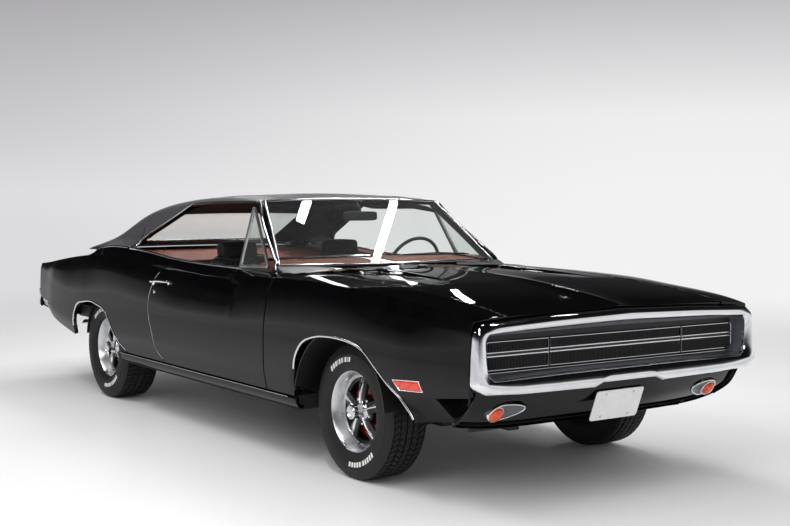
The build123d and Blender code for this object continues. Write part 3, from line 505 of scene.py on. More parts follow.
def lens(name, colour, deep, size):
    # moulded acrylic lamp lens: clear colour over fine prisms
    m, t = newMaterial(name)
    at = add(t, "ShaderNodeTexCoord").outputs["Object"]
    cells = add(t, "ShaderNodeTexVoronoi", {"Vector": at, "Scale": perMm(size), "Randomness": 0.0}, feature="F1",
                distance="CHEBYCHEV").outputs["Distance"]
    mixed = ramp(t, cells, [(0.15, lin(colour)), (0.6, lin(deep))])
    shader = add(t, "ShaderNodeBsdfPrincipled", {"Base Color": mixed, "Roughness": 0.12})
    shader.inputs["IOR"].default_value = 1.49
    shader.inputs["Coat Weight"].default_value = 0.6
    bump = add(t, "ShaderNodeBump", {"Height": cells, "Distance": 0.0008, "Strength": 0.35}).outputs["Normal"]
    t.links.new(bump, shader.inputs["Normal"])
    add(t, "ShaderNodeOutputMaterial", {"Surface": shader.outputs["BSDF"]})
    return m


# Two-stage black lacquer, polished: deep black that mirrors the room, with a trace of orange peel 6 mm wide
blackLacquer = surface("black_lacquer_polished", ("040405", "070708"), (0.28, 0.34), ("noise", 9.0, 0.02, 0.12),
                       coat=0.6, coatRough=0.012, level=0.0)
# The same colour inside the panels and in the bays: sprayed once and not polished
blackUndercoat = surface("black_enamel_unpolished", ("0b0b0c", "121213"), (0.35, 0.5), ("noise", 4.0, 0.06, 0.3),
                         level=0.3)
# Grained vinyl roof cover stretched over padding: satin, fine 2 mm grain
roofVinyl = surface("roof_vinyl_grained", ("232429", "2c2d33"), (0.38, 0.48), ("leather", 3.2, 0.16, 0.35), sheen=0.15,
                    level=0.6)
# Bright nickel-chrome plate on pressed steel, faint haze
chromePlate = surface("chrome_plate", ("e4e5e8", "f0f0f2"), (0.035, 0.075), ("noise", 40.0, 0.03, 0.05), metal=1.0)
# Polished stainless moulding: a little softer than chrome
stainlessTrim = surface("stainless_trim_polished", ("c9cacc", "dcdcde"), (0.12, 0.2), metal=1.0)
# Trim ring of spun, clear-coated aluminium: round tool marks blur the mirror
spunAluminium = surface("spun_aluminium_ring", ("d2d3d5", "e6e7e8"), (0.26, 0.34), ("noise", 1.6, 0.02, 0.25),
                        metal=1.0, stretch=(1, 9, 1))
# Satin anodised aluminium of the vent window frames
satinAluminium = surface("anodised_aluminium_satin", ("cfd0d2", "dfe0e2"), (0.3, 0.38), metal=1.0)
# Tyre rubber: dull black with a light bloom
tyreRubber = surface("tyre_rubber_moulded", ("131313", "1c1c1c"), (0.55, 0.72), ("noise", 1.4, 0.08, 0.5), level=0.4)
whiteRubber = surface("white_sidewall_rubber", ("d9d8d4", "e9e8e4"), (0.5, 0.6), ("noise", 2.0, 0.05, 0.3))
satinBlack = surface("satin_black_enamel", ("0c0c0d", "141415"), (0.32, 0.45), ("noise", 3.0, 0.04, 0.3))
chassisBlack = surface("chassis_paint_satin", ("141414", "1f1e1d"), (0.5, 0.7), ("noise", 5.0, 0.2, 0.5))
underseal = surface("underseal_textured", ("0f0f0f", "171716"), (0.75, 0.9), ("noise", 3.5, 0.7, 0.9))
brakeRed = surface("red_brake_enamel", ("8c1214", "a31a1a"), (0.25, 0.35), ("noise", 4.0, 0.05, 0.3))
castIron = surface("cast_iron_bare", ("3a3733", "544e47"), (0.55, 0.75), ("noise", 2.2, 0.25, 0.7), metal=0.7)
bareSteel = surface("rolled_steel_bare", ("6f6e6c", "8d8b88"), (0.3, 0.5), ("noise", 1.5, 0.04, 0.4), metal=1.0)
aluminisedSteel = surface("aluminised_steel_pipe", ("8f8a80", "a5a198"), (0.38, 0.55), ("noise", 7.0, 0.08, 0.4),
                          metal=1.0)
galvanised = surface("zinc_plated_steel", ("76787a", "8b8d8f"), (0.35, 0.5), ("cells", 14.0, 0.03, 0.35), metal=1.0)
engineEnamel = surface("engine_enamel_blue", ("123a7c", "184a98"), (0.25, 0.4), ("noise", 2.5, 0.15, 0.5))
# Black seat vinyl, darkened below its own colour: black vinyl with painted shade of the cabin
seatVinylShaded = surface("seat_vinyl_black_painted_shade", ("0e0d0d", "151414"), (0.4, 0.52), ("leather", 2.2, 0.18, 0.5),
                    sheen=0.05, level=0.3)
tanVinyl = surface("trim_vinyl_russet_grained", ("602a18", "70341e"), (0.45, 0.58), ("leather", 2.4, 0.18, 0.45),
                   sheen=0.05, level=0.2)
# The russet trim vinyl darkened: painted shade, used on the dash seam and the door card pleats
shadedTan = surface("trim_vinyl_russet_painted_shade", ("3a130e", "481912"), (0.42, 0.55), ("leather", 2.4, 0.18, 0.45))
carpet = surface("carpet_loop_pile", ("120f0e", "1d1917"), (0.9, 1.0), ("cells", 4.0, 1.6, 0.9), sheen=0.4)
# Black headliner vinyl, darkened below its own colour: black vinyl with painted shade of the cabin; also on the post
# linings, quarter linings and visors
headlinerShaded = surface("headliner_vinyl_with_painted_shade", ("0b0b0c", "101011"), (0.6, 0.7), ("cells", 6.0, 0.3, 0.4),
                         level=0.12)
blackPlastic = surface("black_abs_moulded", ("0e0e0f", "151516"), (0.38, 0.5), ("noise", 1.8, 0.05, 0.4))
slatPlastic = surface("grille_slat_satin_black", ("141416", "1c1c1f"), (0.3, 0.4), ("noise", 5.0, 0.03, 0.3))
recessGrey = surface("grille_surround_argent_grey", ("4c5056", "5b5f66"), (0.3, 0.38), ("noise", 3.0, 0.03, 0.2))
gripPlastic = surface("steering_rim_hard_rubber", ("0d0d0d", "161616"), (0.3, 0.4), ("noise", 2.5, 0.05, 0.4))
rubberSeal = surface("weatherstrip_rubber", ("0c0c0c", "131313"), (0.7, 0.85), ("noise", 1.5, 0.05, 0.4))
plateEnamel = surface("plate_enamel_white", ("e6e6e4", "efefed"), (0.25, 0.33), ("noise", 6.0, 0.03, 0.2))
shelfBoard = surface("hardboard_black_textured", ("121212", "1b1b1b"), (0.75, 0.9), ("weave", 3.0, 0.3, 0.5))
dashCrackle = surface("dash_face_black_crackle", ("101010", "191919"), (0.5, 0.62), ("leather", 1.6, 0.1, 0.4))
dialFace = surface("dial_face_matt", ("0a0a0a", "101010"), (0.6, 0.7))
dialMark = surface("dial_marks_white", ("d8d8d2", "e6e6e0"), (0.5, 0.6))
reflector = surface("lamp_reflector_silvered", ("dfe0e2", "f1f1f2"), (0.06, 0.12), metal=1.0)
radiatorFins = surface("radiator_fins_painted", ("101010", "181818"), (0.45, 0.6), ("weave", 3.0, 0.8, 0.8))
hoseRubber = surface("hose_rubber_ribbed", ("101010", "171717"), (0.55, 0.7), ("noise", 1.2, 0.06, 0.4))
batteryCase = surface("battery_case_polypropylene", ("0f0f10", "161617"), (0.35, 0.45), ("noise", 2.0, 0.05, 0.4))

# Laminated windshield glass, faint green tint; the sides and rear the same
windowGlass = clearGlass("laminated_glass_tinted", ("f0f5f2", "f5f8f6"))
lampGlass = clearGlass("lamp_glass_clear", ("e8eaea", "f2f4f4"))
redLens = lens("acrylic_lens_red", "c3100e", "5a0404", 11.0)
amberLens = lens("acrylic_lens_amber", "ff5a0c", "b02c02", 9.0)
orangeLens = lens("acrylic_lens_marker_orange", "f2451e", "a81f0a", 8.0)
print("materials made")


def coat(node, material):
    # a CAD piece keeps its own mesh and gets a finish
    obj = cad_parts[node]
    obj.data.materials.clear()
    obj.data.materials.append(material)
    obj.data.polygons.foreach_set("material_index", [0] * len(obj.data.polygons))


carried = [
    (underseal, "floor_pan rear_wheelhouses"),
    (chassisBlack, "hinges front_subframe rear_frame_rails leaf_springs"),
    (satinBlack, "cowl_firewall inner_fenders radiator_support tail_panel"),
    (castIron, "rear_axle transmission knuckle_right knuckle_left"),
    (engineEnamel, "engine_block"), (bareSteel, "driveshaft steering_link"),
    (aluminisedSteel, "exhaust_pipes"), (galvanised, "fuel_tank"),
    (blackPlastic, "steering_column"), (gripPlastic, "steering_wheel"),
    (shelfBoard, "package_shelf"), (dashCrackle, "dashboard"),
    (seatVinylShaded, "front_seat_right front_seat_left rear_seat"), (roofVinyl, "roof"),
    (windowGlass, "windshield rear_window vent_window_right vent_window_left"),
    (chromePlate, "windshield_frame front_bumper rear_bumper"),
    (slatPlastic, "grille headlamp_door_right headlamp_door_left"),
    (lampGlass, "headlamps"), (plateEnamel, "licence_plate"), (redLens, "tail_lamps"),
    (blackLacquer, "front_valance hood deck_lid front_fender_right front_fender_left door_right door_left"),
    (blackLacquer, "rear_quarter_right rear_quarter_left"),
    (tyreRubber, "tyre_front_right tyre_front_left tyre_rear_right tyre_rear_left"),
    (spunAluminium, "rim_front_right rim_front_left rim_rear_right rim_rear_left"),
]
for finish, nodeNames in carried:
    for node in nodeNames.split():
        coat(node, finish)
print("carried pieces coated")


view = {
    "place": (6.6835, -4.2410, 1.3980), "azimuth": 54.31, "pitch": -3.24, "roll": 0.37, "lens": 57.65,
}


def makeCamera():
    a, e, r = (math.radians(view[k]) for k in ("azimuth", "pitch", "roll"))
    ahead = Vector((-math.sin(a) * math.cos(e), math.cos(a) * math.cos(e), math.sin(e)))
    side = ahead.cross(Vector((0, 0, 1))).normalized()
    up = side.cross(ahead)
    side, up = math.cos(r) * side + math.sin(r) * up, math.cos(r) * up - math.sin(r) * side
    data = bpy.data.cameras.new("camera")
    data.sensor_fit, data.sensor_width, data.lens = "HORIZONTAL", 36.0, view["lens"]
    data.clip_start, data.clip_end = 0.1, 200
    cam = bpy.data.objects.new("camera", data)
    bpy.context.scene.collection.objects.link(cam)
    cam.matrix_world = Matrix((
        (side.x, up.x, -ahead.x, view["place"][0]),
        (side.y, up.y, -ahead.y, view["place"][1]),
        (side.z, up.z, -ahead.z, view["place"][2]),
        (0, 0, 0, 1)))
    bpy.context.scene.camera = cam


studio = {
    "horizon": "e6e6e7", "ceiling": "0c0c0d", "worldLight": 0.9, "floorNear": 3.5, "floorFar": 11.0,
    # ceiling tubes in rows: x, y, length
    "tubes": [(0.11, 1.90, 2.4), (-4.98, 5.31, 1.9), (-4.30, 6.35, 1.6), (-0.76, 1.29, 2.2), (2.6, -2.3, 2.4),
              (-1.4, -2.6, 2.4), (-3.6, 1.2, 2.4)],
    "tubeHeight": 3.6, "tubeWide": 0.10, "tubeTurn": 149.5, "tubeWatts": 17,
    "softPlace": (4.5, -6.0, 4.6), "softSize": 4.0, "softWatts": 130,
}


def makeStage():
    # pale floor that rises into nothing: the world carries on its colour
    floorPaint, t = newMaterial("studio_floor_paint")
    at = add(t, "ShaderNodeTexCoord").outputs["Object"]
    cloud = add(t, "ShaderNodeTexNoise", {"Vector": at, "Scale": 0.35, "Detail": 2.0}).outputs["Fac"]
    colour = ramp(t, cloud, [(0.3, lin("e6e6e7")), (0.7, lin("eeeeee"))])
    shader = add(t, "ShaderNodeBsdfPrincipled", {"Base Color": colour, "Roughness": 0.32})
    shader.inputs["Specular IOR Level"].default_value = 0.12
    # far away the floor takes the wall's colour, so that no edge shows
    reach = add(t, "ShaderNodeVectorMath", {0: at}, operation="LENGTH").outputs["Value"]
    far = add(t, "ShaderNodeMapRange", {"Value": reach, "From Min": studio["floorNear"],
                                        "From Max": studio["floorFar"]},
              interpolation_type="SMOOTHSTEP").outputs["Result"]
    ahead = add(t, "ShaderNodeVectorMath", {0: at}, operation="NORMALIZE").outputs["Vector"]
    sideways = add(t, "ShaderNodeSeparateXYZ", {"Vector": ahead}).outputs["Y"]
    share = add(t, "ShaderNodeMapRange", {"Value": sideways, "From Min": 0.25, "From Max": 0.75},
                interpolation_type="SMOOTHSTEP").outputs["Result"]
    tone = add(t, "ShaderNodeMixRGB", {"Fac": share, "Color1": lin("dcdbde"), "Color2": lin("f2f2f2")}).outputs["Color"]
    glow = add(t, "ShaderNodeEmission", {"Color": tone}).outputs["Emission"]
    blend = add(t, "ShaderNodeMixShader", {0: far, 1: shader.outputs["BSDF"], 2: glow}).outputs["Shader"]
    add(t, "ShaderNodeOutputMaterial", {"Surface": blend})
    floor = meshOf("floor", [(-60000, -60000, 0), (60000, -60000, 0), (60000, 60000, 0), (-60000, 60000, 0)],
                   [(0, 1, 2, 3)], floorPaint)

    world = bpy.data.worlds.new("studio")
    bpy.context.scene.world = world
    world.use_nodes = True
    t = world.node_tree
    t.nodes.clear()
    # the pale wall is lit at its foot and falls off upwards; it is brighter towards +Y
    direction = add(t, "ShaderNodeTexCoord").outputs["Generated"]
    parts = add(t, "ShaderNodeSeparateXYZ", {"Vector": direction})
    height = parts.outputs["Z"]
    walls = ramp(t, height, [(0.0, lin(studio["horizon"])), (0.05, lin("a8a8aa")), (0.12, lin("444446")),
                             (0.3, lin("161617")), (0.7, lin(studio["ceiling"]))])
    dim = ramp(t, height, [(0.0, lin("dcdbde")), (0.045, lin("cbcacd")), (0.15, lin("a9a7ab"))])
    bright = ramp(t, height, [(0.0, lin("f2f2f2")), (0.06, lin("eeeeef")), (0.15, lin("bebdc0"))])
    across = add(t, "ShaderNodeMapRange", {"Value": parts.outputs["Y"], "From Min": 0.25, "From Max": 0.75},
                 interpolation_type="SMOOTHSTEP").outputs["Result"]
    backdrop = add(t, "ShaderNodeMixRGB", {"Fac": across, "Color1": dim, "Color2": bright}).outputs["Color"]
    path = add(t, "ShaderNodeLightPath")
    seen = add(t, "ShaderNodeBackground", {"Color": backdrop, "Strength": 1.0}).outputs["Background"]
    mirrored = add(t, "ShaderNodeBackground", {"Color": walls, "Strength": 1.0}).outputs["Background"]
    lit = add(t, "ShaderNodeBackground",
              {"Color": lin("f4f4f5"), "Strength": studio["worldLight"]}).outputs["Background"]
    glossy = add(t, "ShaderNodeMixShader", {0: path.outputs["Is Glossy Ray"], 1: lit, 2: mirrored}).outputs["Shader"]
    through = add(t, "ShaderNodeMath", {0: path.outputs["Is Camera Ray"], 1: path.outputs["Is Transmission Ray"]},
                  operation="MAXIMUM").outputs["Value"]
    out = add(t, "ShaderNodeMixShader", {0: through, 1: glossy, 2: seen}).outputs["Shader"]
    add(t, "ShaderNodeOutputWorld", {"Surface": out})

    def lamp(name, place, target, sizeX, sizeY, watts):
        data = bpy.data.lights.new(name, "AREA")
        data.shape, data.size, data.size_y, data.energy = "RECTANGLE", sizeX, sizeY, watts
        obj = bpy.data.objects.new(name, data)
        bpy.context.scene.collection.objects.link(obj)
        obj.location = place
        obj.rotation_euler = (Vector(target) - Vector(place)).to_track_quat("-Z", "Y").to_euler()
        return obj

    for k, (x, y, length) in enumerate(studio["tubes"]):
        tube = lamp("tube_%d" % k, (x, y, studio["tubeHeight"]), (x, y, 0), length, studio["tubeWide"],
                    studio["tubeWatts"] * length)
        tube.rotation_euler = (0, 0, math.radians(studio["tubeTurn"]))
    lamp("soft_key", studio["softPlace"], (0, 0, 0.5), studio["softSize"], studio["softSize"], studio["softWatts"])


makeCamera()
makeStage()
bpy.context.scene.view_settings.view_transform = "Standard"
print("camera and studio made")


# Section of the body side along its length. Distances out are from the middle of the car.
side = {
    # x: lower edge z, lower edge out, widest out (z 640), shoulder z, shoulder out
    "low": [(-2541.5, 596, 872, 888, 798, 884), (-2351.5, 540, 898, 914, 800, 902), (-2144.5, 470, 924, 944, 830, 922),
            (-1764.5, 400, 936, 963, 844, 930), (-1496.5, 362, 944, 969, 864, 936), (-1112.5, 362, 946, 969, 872, 944),
            (-553.5, 362, 946, 969, 850, 943), (-14.5, 362, 946, 969, 826, 938), (467.5, 362, 946, 969, 826, 938),
            (857.5, 362, 946, 969, 856, 940), (1224.5, 362, 946, 969, 866, 942), (1680.5, 362, 946, 969, 860, 944),
            (2079.5, 463, 938, 960, 840, 934), (2363.5, 500, 911, 930, 815, 914), (2571.5, 527, 892, 900, 786, 892)],
    # crease along the quarter and door, fading out ahead of x 580
    "rearCrease": [(-2541.5, 845, 874), (-2351.5, 863, 878), (-2144.5, 890, 882), (-1764.5, 933, 884),
                   (-1496.5, 952, 888), (-1112.5, 963, 900), (-863.5, 951, 905), (-553.5, 934, 908), (-270.5, 918, 909),
                   (-14.5, 904, 907), (226.5, 893, 904), (465.5, 888, 902), (580, 884, 901), (700, 884, 904)],
    # crease along the fender, dying on the door behind x 388
    "frontCrease": [(250, 926, 868), (388.5, 930, 888), (691.5, 937, 899), (915.5, 942, 905), (1224.5, 948, 909),
                    (1680.5, 940, 909), (2079.5, 911, 903), (2363.5, 884, 896), (2494.5, 864, 889), (2571.5, 848, 882)],
    # the top surface's inner edge: x, out, z
    "inner": [(-2541.5, 646, 853), (-2341.5, 646, 888), (-1984.5, 646, 948), (-1626, 646, 990), (-1625, 700, 989),
              (-1623, 760, 986), (-1617, 800, 982), (-1604, 822, 982), (-1585, 830, 985), (-1442.5, 832, 1006),
              (-1274.5, 832, 1019), (-1112.5, 830, 1019), (-960, 812, 1012), (-791.5, 802, 1001), (-489.5, 804, 978),
              (-215.5, 804, 966), (33.5, 801, 963), (402.5, 795, 962), (700, 790, 962), (951.5, 786, 964)],
    # where the fender's crease takes over from the rear one: x at its lower and upper end, and over what length
    "fadeLow": 580, "fadeHigh": 400, "fadeWide": 34,
    # rows of points up the side, over the crease and over the top
    "rows": (26, 8, 14),
}
hoodRows = [(931.5, 985, 968), (1407.5, 978, 962), (1807.5, 965, 950), (2117.5, 940, 926), (2407.5, 905, 894),
            (2565.5, 878, 868)]
arch = {
    "front": [(-392, 230), (-380, 560), (-302, 655), (-170, 693), (-25, 701), (120, 692), (230, 668), (432, 520),
              (600, 380), (600, 230)],
    "rear": [(-372, 230), (-366, 520), (-280, 626), (-40, 656), (200, 618), (392, 424), (520, 370), (520, 230)],
}
bumperDepth = 70.0
# the door's rear edge: z, how far ahead of body["doorRear"]
doorEdge = [(1030, 4), (935, 0), (849, -58), (723, -95), (662, -90), (543, -47), (427, 16), (379, 78), (300, 150)]


def archLine(name):
    # the wheel opening as a smooth line (x, z), from its rear foot to its front foot
    axle = body[name + "Axle"]
    return np.array([(axle + x, z) for x, z in rounded(arch[name], 70, 9, closed=False)])


def innerEdge(x):
    # the top surface's inner edge: its distance out and its height
    xs, outs, zs = zip(*side["inner"])
    return np.interp(x, xs, outs), np.interp(x, xs, zs)


def lowerEdge(x):
    return smooth(side["low"], x)[:, 0]


def doorRearX(z):
    z = np.asarray(z, float)
    return body["doorRear"] + smooth([(-a, b) for a, b in doorEdge], -z)[:, 0]


def sideSection(x, zLow=None):
    # points (out, z) from the lower edge over the crease to the inner edge, always the same number
    n1, n2, n3 = side["rows"]
    z0, o0, ow, zs, os_ = smooth(side["low"], x)[0]
    za, oa = smooth(side["rearCrease"], x)[0]
    zb, ob = smooth(side["frontCrease"], x)[0]
    oi, zi = innerEdge(x)
    if x > 951.5:
        oi, zi = body["hoodHalf"] + body["gap"], smooth(hoodRows, x)[0][1]
    start = z0 if zLow is None else max(z0, zLow)

    def lower(zTop, oTop, count, upper=1.0):
        rows = sorted([(z0, o0), (z0 + 0.42 * (640 - z0), ow - 0.12 * (ow - o0)), (640, ow),
                       (zs * upper + (1 - upper) * zTop * 0.93, os_), (zTop, oTop)])
        z = np.linspace(start, zTop, count)
        return np.stack([smooth(rows, z)[:, 0], z], 1)

    def ease(a, b, c, count):
        t = np.linspace(0, 1, count)[:, None]
        return (1 - t) ** 2 * np.array(a) + 2 * t * (1 - t) * np.array(b) + t * t * np.array(c)
    # with the rear crease: side, then a hollow shelf up to the sill
    down = lower(za, oa, n1 + 1)
    hollow = min(1.0, max(0.0, (zi - za - 20) / 60))
    bend = (oa - (0.55 + 0.2 * hollow) * (oa - oi), za + (0.5 - 0.22 * hollow) * (zi - za))
    shelf = ease((oa, za), bend, (oi, zi), n2 + n3 + 1)
    rear = np.vstack([down, shelf[1:]])
    # with the front crease: side up to it, then the top
    zMid = min(za if x < 640 else zb - 48, zb - 30)
    low = lower(zb, ob, 60)
    zz = np.r_[np.linspace(start, zMid, n1 + 1), np.linspace(zMid, zb, n2 + 1)[1:]]
    down = np.stack([np.interp(zz, low[:, 1], low[:, 0]), zz], 1)
    top = ease((ob, zb), (ob - 0.45 * (ob - oi), zb + 0.72 * (zi - zb)), (oi, zi), n3 + 1)
    front = np.vstack([down, top[1:]])
    # where one hands over to the other: a slanted line between the two creases
    j = np.arange(n1 + n2 + n3 + 1)
    along = np.clip((j - n1) / n2, 0, 1)
    middle = side["fadeLow"] + (side["fadeHigh"] - side["fadeLow"]) * along
    w = np.clip((x - middle) / side["fadeWide"] + 0.5, 0, 1)
    w = (w * w * (3 - 2 * w))[:, None]
    return rear * (1 - w) + front * w


def sideColumns(xs, zLows=None):
    # grid of points for the right side, columns along x
    out = []
    for i, x in enumerate(xs):
        s = sideSection(x, None if zLows is None else zLows[i])
        out.append(np.stack([np.full(len(s), x), -s[:, 0], s[:, 1]], 1))
    return np.array(out)


def bentColumns(grid, xEnd, reach, end=0, lows=None):
    # moves the columns near one end so that the panel stops on the line xEnd(z)
    out = grid.copy()
    x = grid[:, 0, 0]
    for i, xi in enumerate(x):
        t = np.clip(1 - abs(xi - x[end]) / reach, 0, 1)
        t = t * t * (3 - 2 * t)
        if t == 0:
            continue
        low = None if lows is None else lows[i]
        for _ in range(3):
            new = xi + (xEnd(out[i, :, 2]) - x[end]) * t
            cols = np.array([sideSection(v, low)[j] for j, v in enumerate(new)])
            out[i] = np.stack([new, -cols[:, 0], cols[:, 1]], 1)
    return out


def archColumns(x0, x1, line, step=24.0):
    # columns from x0 to x1 that all rest on the wheel opening, and its depth at each
    fine = polyline(line[line[:, 1] > lowerEdge(line[:, 0])], 7.0)
    before = np.linspace(x0, fine[0, 0], max(2, int((fine[0, 0] - x0) / step)))[:-1]
    after = np.linspace(fine[-1, 0], x1, max(2, int((x1 - fine[-1, 0]) / step)))[1:]
    fine = fine[np.argsort(fine[:, 0], kind="stable")]
    return np.r_[before, fine[:, 0], after], np.r_[lowerEdge(before), fine[:, 1], lowerEdge(after)]


def makeFender():
    b = Build("front_fender_panel")
    xs, lows = archColumns(body["doorFront"] + body["gap"] / 2 + 3, body["nose"] - bumperDepth - 3, archLine("front"))
    b.pan(sideColumns(xs, lows), blackLacquer, depth=(4, 22, 26, 24), inner=blackUndercoat)
    return b


def makeDoor():
    b = Build("door_panel")
    xs = np.linspace(body["doorRear"] + 3, body["doorFront"] - 3, 74)
    xs = np.unique(np.r_[xs, np.linspace(360, 620, 40)])
    grid = bentColumns(sideColumns(xs), lambda z: doorRearX(z) + 3, 420)
    b.pan(grid, blackLacquer, depth=(46, 46, 30, 14), inner=blackUndercoat)
    return b


def makeQuarter():
    b = Build("rear_quarter_panel")
    xs, lows = archColumns(-2529.5, body["doorRear"] - 3, archLine("rear"))
    # more columns where the top's inner edge turns in towards the deck
    extra = polyline([(r[0], r[1]) for r in side["inner"] if -1626 <= r[0] <= -1585], 8.0)[:, 0]
    fine = np.unique(np.r_[xs, extra])
    grid = sideColumns(fine, np.interp(fine, xs, lows))
    grid = bentColumns(grid, lambda z: doorRearX(z) - 3, 300, -1, grid[:, 0, 2])
    b.pan(grid, blackLacquer, depth=(30, 46, 26, 16), inner=blackUndercoat)
    return b


def makeSides():
    pair(makeFender, "fender", "car_body", "black_paint", "front_fender_{side}")
    pair(makeDoor, "door_skin", "door_{side}", "black_paint", "door_{side}")
    pair(makeQuarter, "quarter", "car_body", "black_paint", "rear_quarter_{side}")


makeSides()
print("body sides made")


hood = {
    "crown": 1.7, "ridge": 7.0, "ridgeWide": 55.0,
    # recessed scallop in each half: middle x, y, length, width, depth, nose
    "scallopX": (1010.0, 1880.0), "scallopY": 430.0, "scallopHalf": 165.0, "scallopDeep": 22.0,
    "grid": (210, 180),
}


def hoodZ(x, y):
    c, s = smooth(hoodRows, x)[0] if np.isscalar(x) else smooth(hoodRows, x).T
    t = np.abs(y) / body["hoodHalf"]
    z = s + (c - s) * (1 - t ** hood["crown"])
    # centre crease, sharper towards the nose
    front = np.clip((x - 1300) / 1200, 0, 1)
    ridge = 3 + hood["ridge"] * front
    z = z + ridge * np.exp(-np.abs(y) / hood["ridgeWide"]) - ridge * 0.35
    # scallop: deep at its rear wall, running out to nothing towards the front
    x0, x1 = hood["scallopX"]
    along = np.clip((x - x0) / (x1 - x0), 0, 1)
    wide = hood["scallopHalf"] * (1 - 0.55 * along)
    middle = hood["scallopY"] + 40 * along
    edge = np.clip((wide - np.abs(np.abs(y) - middle)) / 32.0, 0, 1)
    rear = np.clip((x - x0) / 26.0, 0, 1)
    depth = hood["scallopDeep"] * (1 - along) ** 1.15
    return z - depth * edge * edge * (3 - 2 * edge) * rear * rear * (3 - 2 * rear)


def makeHood():
    b = Build("hood_skin")
    nx, ny = hood["grid"]
    xs = np.unique(np.r_[np.linspace(body["hoodRear"] + 3, body["hoodFront"] - 2, nx), np.linspace(1005, 1035, 10)])
    ys = np.linspace(-(body["hoodHalf"] - 3), body["hoodHalf"] - 3, ny)
    grid = np.zeros((len(xs), len(ys), 3))
    for i, x in enumerate(xs):
        grid[i, :, 0], grid[i, :, 1], grid[i, :, 2] = x, ys, hoodZ(x, ys)
    b.pan(grid, blackLacquer, depth=(24, 22, 26, 26))
    # pressed inner panel: cross braces and a rim
    inner = grid[::4, ::4].copy()
    u, v = np.meshgrid(inner[:, 0, 0], ys[::4], indexing="ij")
    rim = np.minimum.reduce([np.abs(u - xs[0]), np.abs(xs[-1] - u), (body["hoodHalf"] - np.abs(v))])
    brace = np.minimum.reduce([np.abs(v), np.abs(np.abs(v) - (u - 900) * 0.34), rim])
    inner[..., 2] -= 8 + 12 * np.clip(1 - (brace - 45) / 18, 0, 1)
    b.grid(inner, satinBlack, flip=True)
    place(b.make(merge=0.05), "hood", "black_paint", "hood")


def deckZ(x, y):
    rows = [(-2523.5, 872, 856), (-2341.5, 905, 888), (-1984.5, 962, 948), (-1624.5, 996, 991)]
    c, s = smooth(rows, x)[0]
    t = np.abs(y) / body["deckHalf"]
    return s + (c - s) * (1 - t ** 1.8)


def makeDeck():
    b = Build("deck_lid_skin")
    xs = np.linspace(body["deckRear"] + 2, body["deckFront"] - 4, 100)
    ys = np.linspace(-(body["deckHalf"] - 2), body["deckHalf"] - 2, 120)
    grid = np.array([[(x, y, z) for y, z in zip(ys, deckZ(x, ys))] for x in xs])
    # the rear edge rolls down into a lip
    b.pan(grid, blackLacquer, depth=(24, 5, 24, 24))
    inner = grid[::4, ::4].copy()
    inner[..., 0] -= 6
    inner[..., 2] -= 5
    b.grid(inner, satinBlack, flip=True)
    place(b.make(merge=0.05), "deck_lid", "black_paint", "deck_lid")


makeHood()
makeDeck()
print("lids made")


greenhouse = {
    # drip rail over the side glass and down the roof quarter: x, out, z; then the vinyl cover's lower edge to the deck
    "edge": [(345, 633, 1333), (299.5, 638, 1332), (98, 640, 1330), (-84, 641, 1326), (-273, 643, 1320),
             (-454, 647, 1311), (-521, 655, 1292), (-624, 672, 1246), (-729, 692, 1200), (-838, 711, 1155),
             (-950, 728, 1110), (-1016, 742, 1076), (-1038, 752, 1050), (-1044, 770, 1030), (-1047, 800, 1019),
             (-1052, 826, 1020), (-1112, 829, 1021), (-1274, 831, 1021), (-1442, 831, 1008), (-1540, 830, 994),
             (-1585, 829, 987), (-1604, 821, 984), (-1614, 803, 985), (-1620, 762, 990), (-1622, 700, 994)],
    # middle of the roof: x, z
    "crown": [(345, 1350), (300, 1360), (207, 1371), (98, 1377), (-30, 1379), (-276, 1372), (-531, 1356), (-657, 1343),
              (-786, 1326), (-910, 1302), (-1034, 1271), (-1153, 1230), (-1265, 1177), (-1380, 1122), (-1500, 1068),
              (-1622, 1004)],
    # how far the shoulder lies below the middle: x, drop
    "drop": [(345, 16), (0, 24), (-700, 20), (-1150, 9), (-1622, 5)],
    # the side's plane leans in with height and flares out towards the deck
    "lean": 0.41, "planeOut": 747.0, "planeZ": 1068.0, "flare": 62.0, "flareZ": 1078.0,
    # the rear glass: x of its top and foot, and its half width at foot and top
    "glassFront": -1004.0, "glassRear": -1549.0, "glassOut": (578.0, 679.0),
}


def sidePlane(z):
    g = greenhouse
    flare = np.clip((g["flareZ"] - z) / (g["flareZ"] - 1019), 0, 1.6)
    return g["planeOut"] - g["lean"] * (z - g["planeZ"]) + g["flare"] * flare ** 1.7


def roofSection(x, zStart, inset=0.0):
    # line (out, z) from the edge over the shoulder to the middle of the car
    zc = smooth(greenhouse["crown"], x)[0][0] - inset
    drop = smooth(greenhouse["drop"], x)[0][0]
    zr = zc - drop
    z0 = zr - 40
    side = [(sidePlane(z) - inset, z) for z in np.linspace(min(zStart, z0), z0, 14)]
    a = np.array((sidePlane(z0) - inset, z0))
    c = np.array((sidePlane(zr - 8) - 8 - inset, zr - 3))
    e = np.array((sidePlane(zr) - 66 - inset, zr + 2))
    t = np.linspace(0, 1, 14)[1:, None]
    bend = (1 - t) ** 2 * a + 2 * t * (1 - t) * c + t * t * e
    y = np.linspace(e[0], 0, 26)[1:]
    top = np.stack([y, e[1] + (zc - e[1]) * (1 - (y / e[0]) ** 2)], 1)
    line = np.vstack([side, bend, top])
    k = np.argmax(line[:, 1] >= zStart) if line[0, 1] < zStart else 0
    if k:
        p, q = line[k - 1], line[k]
        line = np.vstack([p + (q - p) * (zStart - p[1]) / (q[1] - p[1]), line[k:]])
    return line


def resample(line, count):
    s = np.r_[0, np.cumsum(np.linalg.norm(np.diff(line, axis=0), axis=1))]
    at = np.linspace(0, s[-1], count)
    return np.stack([np.interp(at, s, line[:, k]) for k in range(2)], 1)


